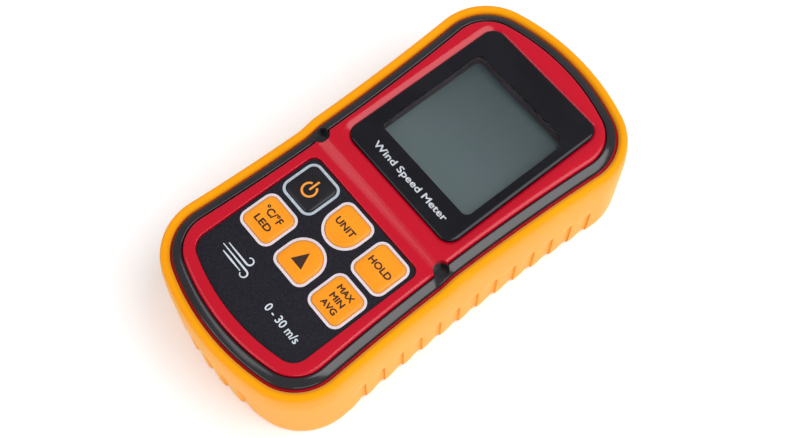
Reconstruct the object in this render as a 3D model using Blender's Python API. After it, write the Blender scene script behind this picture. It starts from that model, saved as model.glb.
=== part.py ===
"""Handheld weather meter, display unit, in its soft holster boot.

Units are metres. X runs across the meter, Y along it towards the display end, and
Z up out of the display. The meter lies on its back: the origin is the middle of its
footprint, on the surface that it lies on.
"""
import bmesh
import bpy
from math import cos, hypot, pi, sin, sqrt, atan2
from mathutils import Matrix

MM = 0.001
GAP = 0.3 * MM                      # clearance between pieces that touch

# ---- plan layout, from the tail end to the head end ----
TAIL_MARGIN = 13.2 * MM             # boot end to the keypad label
KEYPAD_LENGTH = 54.2 * MM
WAIST_LENGTH = 12.1 * MM            # red band between keypad and display
LENS_LENGTH = 65.5 * MM
HEAD_MARGIN = 16.0 * MM             # display window to the boot end
KEY_SIZE = 13.2 * MM
KEY_SPACE_X = 4.8 * MM              # between the columns of keys
KEY_SPACE_Y = 4.0 * MM              # between the two rows
KEY_RADIUS = 2.4 * MM
KEY_TOP_MARGIN = 2.1 * MM           # label edge to the first row of keys
LABEL_SIDE_MARGIN = 2.3 * MM        # outer keys to the label's side
LABEL_TAIL_RADIUS = 78.0 * MM
LABEL_CORNER = 6.0 * MM
LABEL_TOP_CORNER = 3.0 * MM

# ---- plan outline: two arched ends, four corners and two hollow sides ----
LABEL_INSET = 12.3 * MM             # boot's outer edge at the waist to the label's side
WAIST_RADIUS = 808.0 * MM
END_RADIUS_HEAD = 84.6 * MM
END_RADIUS_TAIL = 88.1 * MM
CORNER_RADIUS_HEAD = 22.1 * MM
CORNER_RADIUS_TAIL = 21.2 * MM

# ---- insets from the boot's outer edge ----
BOOT_WALL = 3.3 * MM
BOOT_LIP = 4.0 * MM                 # width of the rounded rim
BOOT_BACK_LIP = 8.6 * MM            # width of the rim round the back window
CASE_INSET = BOOT_WALL + GAP
LEDGE_INSET = BOOT_LIP + GAP        # red ledge just inside the boot's rim
LEDGE_WIDTH = 0.3 * MM
TRIM_OUTER = LEDGE_INSET + LEDGE_WIDTH + GAP
FACE_INSET = 8.5 * MM               # raised red face
TRIM_INNER = FACE_INSET - GAP
FACE_ROUNDING = 1.1 * MM
SHELL_WALL = 2.0 * MM
TONGUE = 1.3 * MM                   # locating tongue at the parting line

# ---- heights, from the table up ----
BOOT_FLOOR = 2.5 * MM
PLATE = 2.0 * MM                    # floor of the rear shell
DOOR_THICKNESS = 1.7 * MM
CELL_RADIUS = 5.25 * MM
CELL_LENGTH = 44.5 * MM
CELL_COUNT = 3
UNDER_BOARD_ROOM = 6.3 * MM
BOARD_THICKNESS = 1.6 * MM
SWITCH_HEIGHT = 3.5 * MM
KEY_TRAVEL = 0.4 * MM
KEY_SWITCH_GAP = KEY_TRAVEL + 0.1 * MM
KEY_FLANGE = 1.0 * MM
PANEL = 2.2 * MM                    # front panel under the label
LABEL_THICKNESS = 0.6 * MM
LABEL_DEPTH = 0.9 * MM              # label's surface below the red face
STEP = 2.0 * MM                     # the head's surface stands above the keypad's
STEP_LENGTH = 8.0 * MM
STEP_MARGIN = 0.7 * MM
LENS_THICKNESS = 1.5 * MM
LENS_PROUD = 0.4 * MM
GLASS_THICKNESS = 2.8 * MM
BACKLIGHT_THICKNESS = 1.8 * MM

CASE_BACK = BOOT_FLOOR + GAP
PLATE_TOP = CASE_BACK + PLATE
CELL_Z = PLATE_TOP + GAP + CELL_RADIUS
BAY_ROOF = CELL_Z + CELL_RADIUS + 0.5 * MM
BAY_WALL = 1.6 * MM
BOARD_Z = BAY_ROOF + BAY_WALL + UNDER_BOARD_ROOM
BOARD_TOP = BOARD_Z + BOARD_THICKNESS
KEY_FOOT = BOARD_TOP + SWITCH_HEIGHT + KEY_SWITCH_GAP
CEILING = KEY_FOOT + KEY_FLANGE + GAP
LABEL_Z = CEILING + PANEL
KEY_PLANE = LABEL_Z + LABEL_THICKNESS
FACE_Z = KEY_PLANE + LABEL_DEPTH
PARTING = BAY_ROOF + 0.9 * MM
WALL_FOOT = PARTING + GAP
LEDGE_UNDER = FACE_Z - 3.95 * MM    # shoulder of the case that the boot's rim grips
CHANNEL_Z = FACE_Z - 2.9 * MM       # channel that holds the trim ring
LEDGE_Z = FACE_Z - 2.3 * MM
LENS_TOP = FACE_Z + STEP + LENS_PROUD
LENS_SEAT = LENS_TOP - LENS_THICKNESS - GAP
GLASS_TOP = CEILING + STEP - GAP

# ---- derived plan ----
KEY_PITCH_X = KEY_SIZE + KEY_SPACE_X
KEY_PITCH_Y = KEY_SIZE + KEY_SPACE_Y
LENGTH = TAIL_MARGIN + KEYPAD_LENGTH + WAIST_LENGTH + LENS_LENGTH + HEAD_MARGIN
HEAD_Y = LENGTH / 2
TAIL_Y = -LENGTH / 2
LABEL_Y0 = TAIL_Y + TAIL_MARGIN
LABEL_Y1 = LABEL_Y0 + KEYPAD_LENGTH
STEP_Y0 = LABEL_Y1 + STEP_MARGIN
STEP_Y1 = STEP_Y0 + STEP_LENGTH
LENS_Y0 = LABEL_Y1 + WAIST_LENGTH
LENS_Y1 = LENS_Y0 + LENS_LENGTH
WAIST_Y = (STEP_Y0 + STEP_Y1) / 2 + 1.1 * MM
KEY_ROW_1 = LABEL_Y1 - KEY_TOP_MARGIN - KEY_SIZE / 2
KEY_ROW_2 = KEY_ROW_1 - KEY_PITCH_Y
LABEL_HALF_WIDTH = KEY_PITCH_X + KEY_SIZE / 2 + LABEL_SIDE_MARGIN
WAIST_HALF_WIDTH = LABEL_HALF_WIDTH + LABEL_INSET

# ---- display ----
LENS_SIDE_MARGIN = 4.2 * MM         # red face's edge at the waist to the window
LENS_RADIUS = 4.6 * MM
VIEW_SIDE_MARGIN = 3.8 * MM         # window's edge to the opening above the glass
VIEW_END_MARGIN = 11.35 * MM
VIEW_LOWER = 0.5 * MM               # opening towards the tail, from the window's middle
VIEW_RADIUS = 2.0 * MM
LENS_WIDTH = 2 * (WAIST_HALF_WIDTH - FACE_INSET - LENS_SIDE_MARGIN)
VIEW_WIDTH = LENS_WIDTH - 2 * VIEW_SIDE_MARGIN
VIEW_LENGTH = LENS_LENGTH - 2 * VIEW_END_MARGIN
VIEW_Y = (LENS_Y0 + LENS_Y1) / 2 - VIEW_LOWER
GLASS_MARGIN = 3.1 * MM             # glass hidden behind the panel on each side
FRAME_WALL = 1.6 * MM
STRIP_WIDTH = 2.0 * MM              # elastomer connector under the glass

# ---- battery bay ----
CELL_SPACE = 0.6 * MM
CELL_PITCH = 2 * CELL_RADIUS + CELL_SPACE
BAY_WIDTH = CELL_COUNT * CELL_PITCH + 2.0 * MM
SPRING_LENGTH = 3.4 * MM
CONTACT = 0.4 * MM
CONTACT_SIZE = 7.0 * MM
CONTACT_LEG = 2.0 * MM              # leg from a contact plate up to the board
BAY_LENGTH = CELL_LENGTH + SPRING_LENGTH + 2 * CONTACT + 4 * GAP + 1.1 * MM
BAY_Y0 = LABEL_Y0 + 14.7 * MM
BAY_Y1 = BAY_Y0 + BAY_LENGTH
CELL_Y = (BAY_Y0 + BAY_Y1) / 2
DOOR_OVERLAP = 1.8 * MM             # door reaches past the bay on each side
BAY_FOOT = 3.2 * MM                 # flange that joins the bay to the rear shell
TAB_WIDTH = 6.0 * MM
TAB_REACH = 2.5 * MM
TAB_THICKNESS = 0.8 * MM
TAB_X = 11.0 * MM

# ---- screws and board ----
SCREW_INSET = 11.3 * MM             # boot's outer edge to a case screw
BOSS_RADIUS = 3.1 * MM
SCREW_RADIUS = 1.3 * MM
SCREW_HEAD_RADIUS = 2.4 * MM
SCREW_HEAD = 1.4 * MM
SCREW_LENGTH = 20.0 * MM
SCREW_SEAT = CASE_BACK + 2.6 * MM
BOARD_SCREW_RADIUS = 1.0 * MM
BOARD_SCREW_HEAD_RADIUS = 1.9 * MM
BOARD_POST_RADIUS = 2.3 * MM
BOARD_SIDE_MARGIN = 4.0 * MM        # case wall to the board's side
BOARD_RADIUS = 2.0 * MM
BOARD_SCREW_INSET = 3.0 * MM
POST_TO_BOARD = 0.9 * MM
HEAD_POST_SPACE = 1.3 * MM          # display frame to the head's screw posts

# ---- probe socket in the head end ----
SOCKET_WIDTH = 13.0 * MM
SOCKET_HEIGHT = 9.0 * MM
SOCKET_DEPTH = 14.0 * MM
SOCKET_BORE = 4.2 * MM
SOCKET_Z = (PARTING + CEILING) / 2 + 0.6 * MM
SOCKET_WINDOW = 2.0 * MM            # boot's opening beyond the socket, each side
PIN_RADIUS = 0.45 * MM

# ---- trim notch at the waist ----
NOTCH_RADIUS = 2.5 * MM

CORNER_STEPS = 7
END_STEPS = 4
SIDE_STEPS = 3
RAMP_STEPS = 5


def clear_scene():
    for thing in list(bpy.data.objects):
        bpy.data.objects.remove(thing, do_unlink=True)


def finish_material(name, colour, roughness, metallic=0.0):
    mat = bpy.data.materials.new(name)
    mat.use_nodes = True
    shader = mat.node_tree.nodes["Principled BSDF"]
    shader.inputs["Base Color"].default_value = (*colour, 1.0)
    shader.inputs["Roughness"].default_value = roughness
    shader.inputs["Metallic"].default_value = metallic
    return mat


def smoothstep(y):
    t = min(max((y - STEP_Y0) / (STEP_Y1 - STEP_Y0), 0.0), 1.0)
    return t * t * (3.0 - 2.0 * t)


def ceiling_at(y):
    return CEILING + STEP * smoothstep(y)


# ---------------------------------------------------------------- plan outline

def corner_centre(end_centre_y, end_radius, corner_radius, towards):
    """Centre of the corner arc that touches the arched end and the hollow side."""
    side = (WAIST_HALF_WIDTH + WAIST_RADIUS, WAIST_Y)
    dx, dy = side[0], side[1] - end_centre_y
    apart = hypot(dx, dy)
    from_end = end_radius - corner_radius
    from_side = WAIST_RADIUS + corner_radius
    along = (from_end ** 2 - from_side ** 2 + apart ** 2) / (2 * apart)
    across = sqrt(from_end ** 2 - along ** 2) * towards
    ux, uy = dx / apart, dy / apart
    return (ux * along - uy * across, end_centre_y + uy * along + ux * across)


HEAD_CENTRE_Y = HEAD_Y - END_RADIUS_HEAD
TAIL_CENTRE_Y = TAIL_Y + END_RADIUS_TAIL
HEAD_CORNER = corner_centre(HEAD_CENTRE_Y, END_RADIUS_HEAD, CORNER_RADIUS_HEAD, 1)
TAIL_CORNER = corner_centre(TAIL_CENTRE_Y, END_RADIUS_TAIL, CORNER_RADIUS_TAIL, -1)


def arc(centre, radius, start, end, steps):
    """Points after the start of an arc, up to and with its end."""
    turns = [start + (end - start) * i / steps for i in range(1, steps + 1)]
    return [(centre[0] + radius * cos(t), centre[1] + radius * sin(t)) for t in turns]


def side_x(y, inset):
    radius = WAIST_RADIUS + inset
    return WAIST_HALF_WIDTH + WAIST_RADIUS - sqrt(radius ** 2 - (y - WAIST_Y) ** 2)


def side_end(corner, corner_radius, inset):
    """Y at which the hollow side meets a corner arc, at this inset."""
    dx = WAIST_HALF_WIDTH + WAIST_RADIUS - corner[0]
    dy = WAIST_Y - corner[1]
    return corner[1] + dy * (corner_radius - inset) / hypot(dx, dy)


def right_half(inset):
    """Right half of the plan outline at an inset, from the tail's middle to the head's."""
    side = (WAIST_HALF_WIDTH + WAIST_RADIUS, WAIST_Y)
    tail_turn = atan2(TAIL_CORNER[1] - TAIL_CENTRE_Y, TAIL_CORNER[0])
    head_turn = atan2(HEAD_CORNER[1] - HEAD_CENTRE_Y, HEAD_CORNER[0])
    tail_side = atan2(side[1] - TAIL_CORNER[1], side[0] - TAIL_CORNER[0])
    head_side = atan2(side[1] - HEAD_CORNER[1], side[0] - HEAD_CORNER[0])
    points = [(0.0, TAIL_Y + inset)]
    points += arc((0, TAIL_CENTRE_Y), END_RADIUS_TAIL - inset, -pi / 2, tail_turn, END_STEPS)
    points += arc(TAIL_CORNER, CORNER_RADIUS_TAIL - inset, tail_turn, tail_side, CORNER_STEPS)
    low = side_end(TAIL_CORNER, CORNER_RADIUS_TAIL, inset)
    high = side_end(HEAD_CORNER, CORNER_RADIUS_HEAD, inset)
    stations = [low + (STEP_Y0 - low) * i / SIDE_STEPS for i in range(1, SIDE_STEPS + 1)]
    stations += [STEP_Y0 + STEP_LENGTH * i / RAMP_STEPS for i in range(1, RAMP_STEPS + 1)]
    stations += [STEP_Y1 + (high - STEP_Y1) * i / SIDE_STEPS for i in range(1, SIDE_STEPS + 1)]
    points += [(side_x(y, inset), y) for y in stations]
    points += arc(HEAD_CORNER, CORNER_RADIUS_HEAD - inset, head_side, head_turn, CORNER_STEPS)
    points += arc((0, HEAD_CENTRE_Y), END_RADIUS_HEAD - inset, head_turn, pi / 2, END_STEPS)
    points[-1] = (0.0, HEAD_Y - inset)
    return points


def full_loop(inset):
    half = right_half(inset)
    return half + [(-x, y) for x, y in reversed(half[1:-1])]


# ---------------------------------------------------------------- mesh helpers

def add_object(name, bm, material=None, at=(0, 0, 0)):
    bmesh.ops.remove_doubles(bm, verts=bm.verts, dist=1e-6)
    bmesh.ops.recalc_face_normals(bm, faces=bm.faces)
    mesh = bpy.data.meshes.new(name)
    bmesh.ops.translate(bm, verts=bm.verts, vec=[-c for c in at])
    bm.to_mesh(mesh)
    bm.free()
    thing = bpy.data.objects.new(name, mesh)
    thing.location = at
    bpy.context.scene.collection.objects.link(thing)
    if material:
        mesh.materials.append(material)
    return thing


def boolean(target, name, bm, operation="DIFFERENCE"):
    """Cuts a closed shape out of target, or adds it."""
    tool = add_object(name, bm)
    tool.hide_render = True
    tool.display_type = "WIRE"
    tool.parent = target
    tool.matrix_parent_inverse = target.matrix_basis.inverted()
    step = target.modifiers.new(name, "BOOLEAN")
    step.operation = operation
    step.solver = "EXACT"
    step.object = tool


def loft(section, closed):
    """Runs a section of (inset, height, lift) round the outline.

    A closed section makes a ring. An open one makes a solid with a flat cap over its
    first and its last loop. Lift 1 raises the head's part of a loop by the step."""
    bm = bmesh.new()
    loops = []
    for inset, z, lift in section:
        loops.append([bm.verts.new((x, y, z + lift * STEP * smoothstep(y)))
                      for x, y in full_loop(inset)])
    count = len(loops[0])
    pairs = list(zip(loops, loops[1:] + loops[:1])) if closed else list(zip(loops, loops[1:]))
    for low, high in pairs:
        for i in range(count):
            j = (i + 1) % count
            bm.faces.new((low[i], low[j], high[j], high[i]))
    if not closed:
        for loop in (loops[0], loops[-1]):
            cap(bm, loop)
    return bm


def cap(bm, loop):
    """Closes a symmetric loop with strips from its right side to its left side."""
    half = len(loop) // 2
    for i in range(half):
        corners = [loop[i], loop[i + 1], loop[(-i - 1) % len(loop)], loop[-i]]
        unique = list(dict.fromkeys(corners))
        bm.faces.new(unique)


def rounded(width, length, radius, centre=(0, 0), far_radius=None, steps=4):
    """A rectangle with round corners; the far (+Y) pair may have its own radius."""
    far_radius = radius if far_radius is None else far_radius
    points = []
    corners = ((-1, -1, radius, pi), (1, -1, radius, 1.5 * pi),
               (1, 1, far_radius, 0.0), (-1, 1, far_radius, 0.5 * pi))
    for sx, sy, r, start in corners:
        cx = centre[0] + sx * (width / 2 - r)
        cy = centre[1] + sy * (length / 2 - r)
        for i in range(steps + 1):
            turn = start + 0.5 * pi * i / steps
            points.append((cx + r * cos(turn), cy + r * sin(turn)))
    return points


def prism(points, z0, z1, bm=None):
    bm = bm or bmesh.new()
    bottom = [bm.verts.new((x, y, z0)) for x, y in points]
    top = [bm.verts.new((x, y, z1)) for x, y in points]
    bm.faces.new(bottom)
    bm.faces.new(top)
    for i in range(len(points)):
        j = (i + 1) % len(points)
        bm.faces.new((bottom[i], bottom[j], top[j], top[i]))
    return bm


def stack(layers):
    """Loops of equal point count, each (points, z), joined and closed at both ends."""
    bm = bmesh.new()
    loops = [[bm.verts.new((x, y, z)) for x, y in points] for points, z in layers]
    for low, high in zip(loops, loops[1:]):
        for i in range(len(low)):
            j = (i + 1) % len(low)
            bm.faces.new((low[i], low[j], high[j], high[i]))
    bm.faces.new(loops[0])
    bm.faces.new(loops[-1])
    return bm


def block(x0, x1, y0, y1, z0, z1, bm=None):
    return prism([(x0, y0), (x1, y0), (x1, y1), (x0, y1)], z0, z1, bm)


def circle(centre, radius, sides):
    return [(centre[0] + radius * cos(2 * pi * i / sides),
             centre[1] + radius * sin(2 * pi * i / sides)) for i in range(sides)]


def drum(centre, radius, z0, z1, sides=20, bm=None):
    return prism(circle(centre, radius, sides), z0, z1, bm)


def turned(centre, profile, sides=20):
    """A solid of revolution about Z; profile is (radius, z) from bottom to top."""
    return stack([(circle(centre, r, sides), z) for r, z in profile])


def lay_along_y(bm, z):
    """Turns a shape that stands on the origin so that its Z runs along Y, at height z."""
    bmesh.ops.rotate(bm, verts=bm.verts, matrix=Matrix.Rotation(-pi / 2, 3, "X"))
    bmesh.ops.translate(bm, verts=bm.verts, vec=(0, 0, z))
    return bm


# ---------------------------------------------------------------- soft boot

def make_boot(material):
    rim = FACE_Z - 1.3 * MM
    section = [
        (2.8 * MM, 0.0, 0), (1.8 * MM, 0.5 * MM, 0), (1.3 * MM, 1.6 * MM, 0),
        (0.5 * MM, rim - 12.0 * MM, 0), (0.05 * MM, rim - 4.5 * MM, 1), (0.0, rim - 2.4 * MM, 1),
        (0.35 * MM, rim - 1.0 * MM, 1), (1.15 * MM, rim - 0.15 * MM, 1), (2.2 * MM, rim, 1),
        (3.3 * MM, rim - 0.4 * MM, 1), (BOOT_LIP, rim - 1.1 * MM, 1),
        (BOOT_LIP, LEDGE_UNDER + GAP, 1), (BOOT_WALL, LEDGE_UNDER + GAP, 1),
        (BOOT_WALL, BOOT_FLOOR, 0), (BOOT_BACK_LIP, BOOT_FLOOR, 0), (BOOT_BACK_LIP, 0.0, 0),
    ]
    boot = add_object("holster_boot", loft(section, closed=True), material)
    half = SOCKET_WIDTH / 2 + SOCKET_WINDOW
    inside = HEAD_Y - BOOT_WALL - 4.0 * MM
    boolean(boot, "boot_socket_window",
            block(-half, half, inside, HEAD_Y + 2.0 * MM,
                  SOCKET_Z - SOCKET_HEIGHT / 2 - SOCKET_WINDOW,
                  SOCKET_Z + SOCKET_HEIGHT / 2 + SOCKET_WINDOW))


# ---------------------------------------------------------------- case shells

def screw_places():
    """Case screws keep one inset: the head's pair just past the display frame, and the
    tail's pair at the middle of its corner arcs."""
    head_y = FRAME_Y1 + HEAD_POST_SPACE + BOSS_RADIUS
    reach = CORNER_RADIUS_HEAD - SCREW_INSET
    head_x = HEAD_CORNER[0] + sqrt(reach ** 2 - (head_y - HEAD_CORNER[1]) ** 2)
    reach = (CORNER_RADIUS_TAIL - SCREW_INSET) * sqrt(0.5)
    tail_x, tail_y = TAIL_CORNER[0] + reach, TAIL_CORNER[1] - reach
    return [(head_x, head_y), (-head_x, head_y), (tail_x, tail_y), (-tail_x, tail_y)]


FRAME_Y1 = VIEW_Y + VIEW_LENGTH / 2 + GLASS_MARGIN + GAP + FRAME_WALL
SCREWS = screw_places()
BOARD_HALF_WIDTH = WAIST_HALF_WIDTH - CASE_INSET - SHELL_WALL - BOARD_SIDE_MARGIN
BOARD_Y0 = SCREWS[2][1] + BOSS_RADIUS + POST_TO_BOARD
BOARD_Y1 = SCREWS[0][1] - BOSS_RADIUS - POST_TO_BOARD
BOARD_SCREWS = [(hand * (BOARD_HALF_WIDTH - BOARD_SCREW_INSET), y)
                for y in (BOARD_Y0 + BOARD_SCREW_INSET, LENS_Y0 + 0.5 * MM) for hand in (1, -1)]


def key_plan(place, grow):
    """Plan of a key: a rounded square, or flat on one end and round on the other."""
    x, y, kind = place
    size = KEY_SIZE + 2 * grow
    full = KEY_SIZE / 2 - 0.2 * MM + grow
    if kind == "square":
        return rounded(size, size, KEY_RADIUS + grow, (x, y))
    if kind == "round_tail":
        return rounded(size, size, full, (x, y), KEY_RADIUS + grow)
    return rounded(size, size, KEY_RADIUS + grow, (x, y), full)


KEYS = {
    "power": (-KEY_PITCH_X, KEY_ROW_1, "square"),
    "unit": (0.0, KEY_ROW_1, "round_tail"),
    "hold": (KEY_PITCH_X, KEY_ROW_1, "square"),
    "temperature_light": (-KEY_PITCH_X, KEY_ROW_2, "square"),
    "up": (0.0, KEY_ROW_2, "round_head"),
    "max_min": (KEY_PITCH_X, KEY_ROW_2, "square"),
}


def label_plan(grow):
    """Keypad label: straight sides, an arched tail, and cut straight across at the waist."""
    x, top = LABEL_HALF_WIDTH + grow, LABEL_Y1 + grow
    reach, corner = LABEL_TAIL_RADIUS + grow, LABEL_CORNER + grow
    centre_y = LABEL_Y0 + LABEL_TAIL_RADIUS
    corner_x = x - corner
    corner_y = centre_y - sqrt((reach - corner) ** 2 - corner_x ** 2)
    turn = atan2(corner_y - centre_y, corner_x)
    radius = LABEL_TOP_CORNER + grow
    half = [(0.0, centre_y - reach)] + arc((0, centre_y), reach, -pi / 2, turn, 4)
    half += arc((corner_x, corner_y), corner, turn, 0.0, 5) + [(x, top - radius)]
    half += arc((x - radius, top - radius), radius, 0.0, pi / 2, 4)
    return half + [(-x, y) for x, y in reversed(half[1:])]


def make_front_shell(material):
    section = [
        (FACE_INSET + FACE_ROUNDING, FACE_Z, 1),
        (FACE_INSET + 0.35 * MM, FACE_Z - 0.2 * MM, 1), (FACE_INSET, FACE_Z - 0.8 * MM, 1),
        (FACE_INSET, CHANNEL_Z, 1), (LEDGE_INSET + LEDGE_WIDTH, CHANNEL_Z, 1),
        (LEDGE_INSET + LEDGE_WIDTH, LEDGE_Z, 1), (LEDGE_INSET, LEDGE_Z, 1),
        (LEDGE_INSET, LEDGE_UNDER, 1), (CASE_INSET, LEDGE_UNDER, 1), (CASE_INSET, WALL_FOOT, 0),
        (CASE_INSET + 0.7 * MM, WALL_FOOT, 0), (CASE_INSET + 0.7 * MM, WALL_FOOT + TONGUE, 0),
        (CASE_INSET + SHELL_WALL - 0.2 * MM, WALL_FOOT + TONGUE, 0),
        (CASE_INSET + SHELL_WALL - 0.2 * MM, CHANNEL_Z - PANEL + 0.1 * MM, 1),
        (FACE_INSET + SHELL_WALL, CHANNEL_Z - PANEL + 0.1 * MM, 1),
        (FACE_INSET + SHELL_WALL + 0.4 * MM, CEILING, 1),
    ]
    shell = add_object("front_shell", loft(section, closed=False), material)
    boolean(shell, "label_recess", prism(label_plan(0.2 * MM), LABEL_Z, FACE_Z + 3.0 * MM))
    holes = bmesh.new()
    for place in KEYS.values():
        prism(key_plan(place, GAP), CEILING - 2.0 * MM, LABEL_Z + 1.0 * MM, holes)
    boolean(shell, "key_holes", holes)
    boolean(shell, "lens_seat", prism(lens_plan(GAP), LENS_SEAT, LENS_TOP + 2.0 * MM))
    boolean(shell, "view_opening",
            prism(rounded(VIEW_WIDTH, VIEW_LENGTH, VIEW_RADIUS, (0, VIEW_Y)),
                  CEILING - 1.0 * MM, LENS_TOP))
    posts = bmesh.new()
    for place in SCREWS:
        drum(place, BOSS_RADIUS, WALL_FOOT + TONGUE, ceiling_at(place[1]) + 0.6 * MM, bm=posts)
    for place in BOARD_SCREWS:
        drum(place, BOARD_POST_RADIUS, BOARD_TOP + GAP, ceiling_at(place[1]) + 0.6 * MM, 12, posts)
    boolean(shell, "screw_posts", posts, "UNION")
    bores = bmesh.new()
    for place in SCREWS:
        drum(place, SCREW_RADIUS + GAP, WALL_FOOT, CEILING - 2.0 * MM, 12, bores)
    for place in BOARD_SCREWS:
        drum(place, BOARD_SCREW_RADIUS + GAP, BOARD_TOP, CEILING - 0.6 * MM, 10, bores)
    boolean(shell, "screw_bores", bores)
    boolean(shell, "shell_socket_hole", socket_hole())


def socket_hole():
    half = SOCKET_WIDTH / 2 + GAP
    return block(-half, half, HEAD_Y - CASE_INSET - SHELL_WALL - 2.0 * MM, HEAD_Y,
                 SOCKET_Z - SOCKET_HEIGHT / 2 - GAP, SOCKET_Z + SOCKET_HEIGHT / 2 + GAP)


def make_rear_shell(material):
    section = [
        (CASE_INSET + SHELL_WALL + 1.4 * MM, PLATE_TOP, 0),
        (CASE_INSET + SHELL_WALL, PLATE_TOP + 1.2 * MM, 0),
        (CASE_INSET + SHELL_WALL, PARTING + TONGUE, 0),
        (CASE_INSET + 0.7 * MM + GAP, PARTING + TONGUE, 0),
        (CASE_INSET + 0.7 * MM + GAP, PARTING, 0), (CASE_INSET, PARTING, 0),
        (CASE_INSET, CASE_BACK + 1.6 * MM, 0), (CASE_INSET + 0.5 * MM, CASE_BACK + 0.5 * MM, 0),
        (CASE_INSET + 1.6 * MM, CASE_BACK, 0),
    ]
    shell = add_object("rear_shell", loft(section, closed=False), material)
    half = BAY_WIDTH / 2
    boolean(shell, "bay_body",
            block(-half - BAY_WALL, half + BAY_WALL, BAY_Y0 - BAY_WALL, BAY_Y1 + BAY_WALL,
                  PLATE_TOP - 0.5 * MM, BAY_ROOF + BAY_WALL), "UNION")
    foot_x, foot_y0, foot_y1 = door_box(BAY_FOOT)
    boolean(shell, "bay_foot",
            block(-foot_x, foot_x, foot_y0, foot_y1, PLATE_TOP - 0.4 * MM, PLATE_TOP + 1.2 * MM), "UNION")
    boolean(shell, "bay_cavity",
            block(-half, half, BAY_Y0, BAY_Y1, PLATE_TOP - 1.0 * MM, BAY_ROOF))
    x, y0, y1 = door_box(GAP)
    boolean(shell, "door_opening",
            prism(rounded(2 * x, y1 - y0, 1.5 * MM, (0, (y0 + y1) / 2)),
                  CASE_BACK - 1.0 * MM, PLATE_TOP))
    slots = bmesh.new()
    for hand in (1, -1):
        reach = TAB_WIDTH / 2 + GAP
        block(hand * TAB_X - reach, hand * TAB_X + reach, foot_y0 - 0.5 * MM,
              BAY_Y0 + 0.5 * MM, PLATE_TOP - 0.1 * MM, PLATE_TOP + 3.0 * MM, slots)
    boolean(shell, "tab_slots", slots)
    bosses = bmesh.new()
    for place in SCREWS:
        drum(place, BOSS_RADIUS, PLATE_TOP - 0.5 * MM, WALL_FOOT + TONGUE - GAP, bm=bosses)
    boolean(shell, "screw_bosses", bosses, "UNION")
    sinks = bmesh.new()
    for place in SCREWS:
        drum(place, SCREW_HEAD_RADIUS + GAP, CASE_BACK - 1.0 * MM, SCREW_SEAT, 16, sinks)
    boolean(shell, "screw_sinks", sinks)
    bores = bmesh.new()
    for place in SCREWS:
        drum(place, SCREW_RADIUS + GAP, CASE_BACK, PARTING + 4.0 * MM, 12, bores)
    boolean(shell, "rear_screw_bores", bores)
    leads = bmesh.new()
    for x, y0, y1 in lead_slots():
        block(x - CONTACT_LEG / 2 - GAP, x + CONTACT_LEG / 2 + GAP, y0, y1,
              BAY_ROOF - 1.0 * MM, BAY_ROOF + BAY_WALL + 1.0 * MM, leads)
    boolean(shell, "lead_slots", leads)


def make_trim(material):
    section = [
        (TRIM_OUTER, CHANNEL_Z + GAP, 1), (TRIM_OUTER, FACE_Z - 2.1 * MM, 1),
        (TRIM_OUTER + 0.45 * MM, FACE_Z - 1.55 * MM, 1), (TRIM_OUTER + 1.5 * MM, FACE_Z - 0.9 * MM, 1),
        (TRIM_INNER - 0.7 * MM, FACE_Z - 0.42 * MM, 1), (TRIM_INNER, FACE_Z - 0.5 * MM, 1),
        (TRIM_INNER, CHANNEL_Z + GAP, 1),
    ]
    trim = add_object("bezel_trim", loft(section, closed=True), material)
    notches = bmesh.new()
    for hand in (1, -1):
        centre = (hand * side_x(WAIST_Y, TRIM_INNER), WAIST_Y)
        drum(centre, NOTCH_RADIUS, FACE_Z - 2.1 * MM, FACE_Z + 4.0 * MM, 16, notches)
    boolean(trim, "waist_notches", notches)


# ---------------------------------------------------------------- display and keypad

def lens_plan(grow):
    centre = (0, (LENS_Y0 + LENS_Y1) / 2)
    return rounded(LENS_WIDTH + 2 * grow, LENS_LENGTH + 2 * grow, LENS_RADIUS + grow, centre, steps=5)


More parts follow.
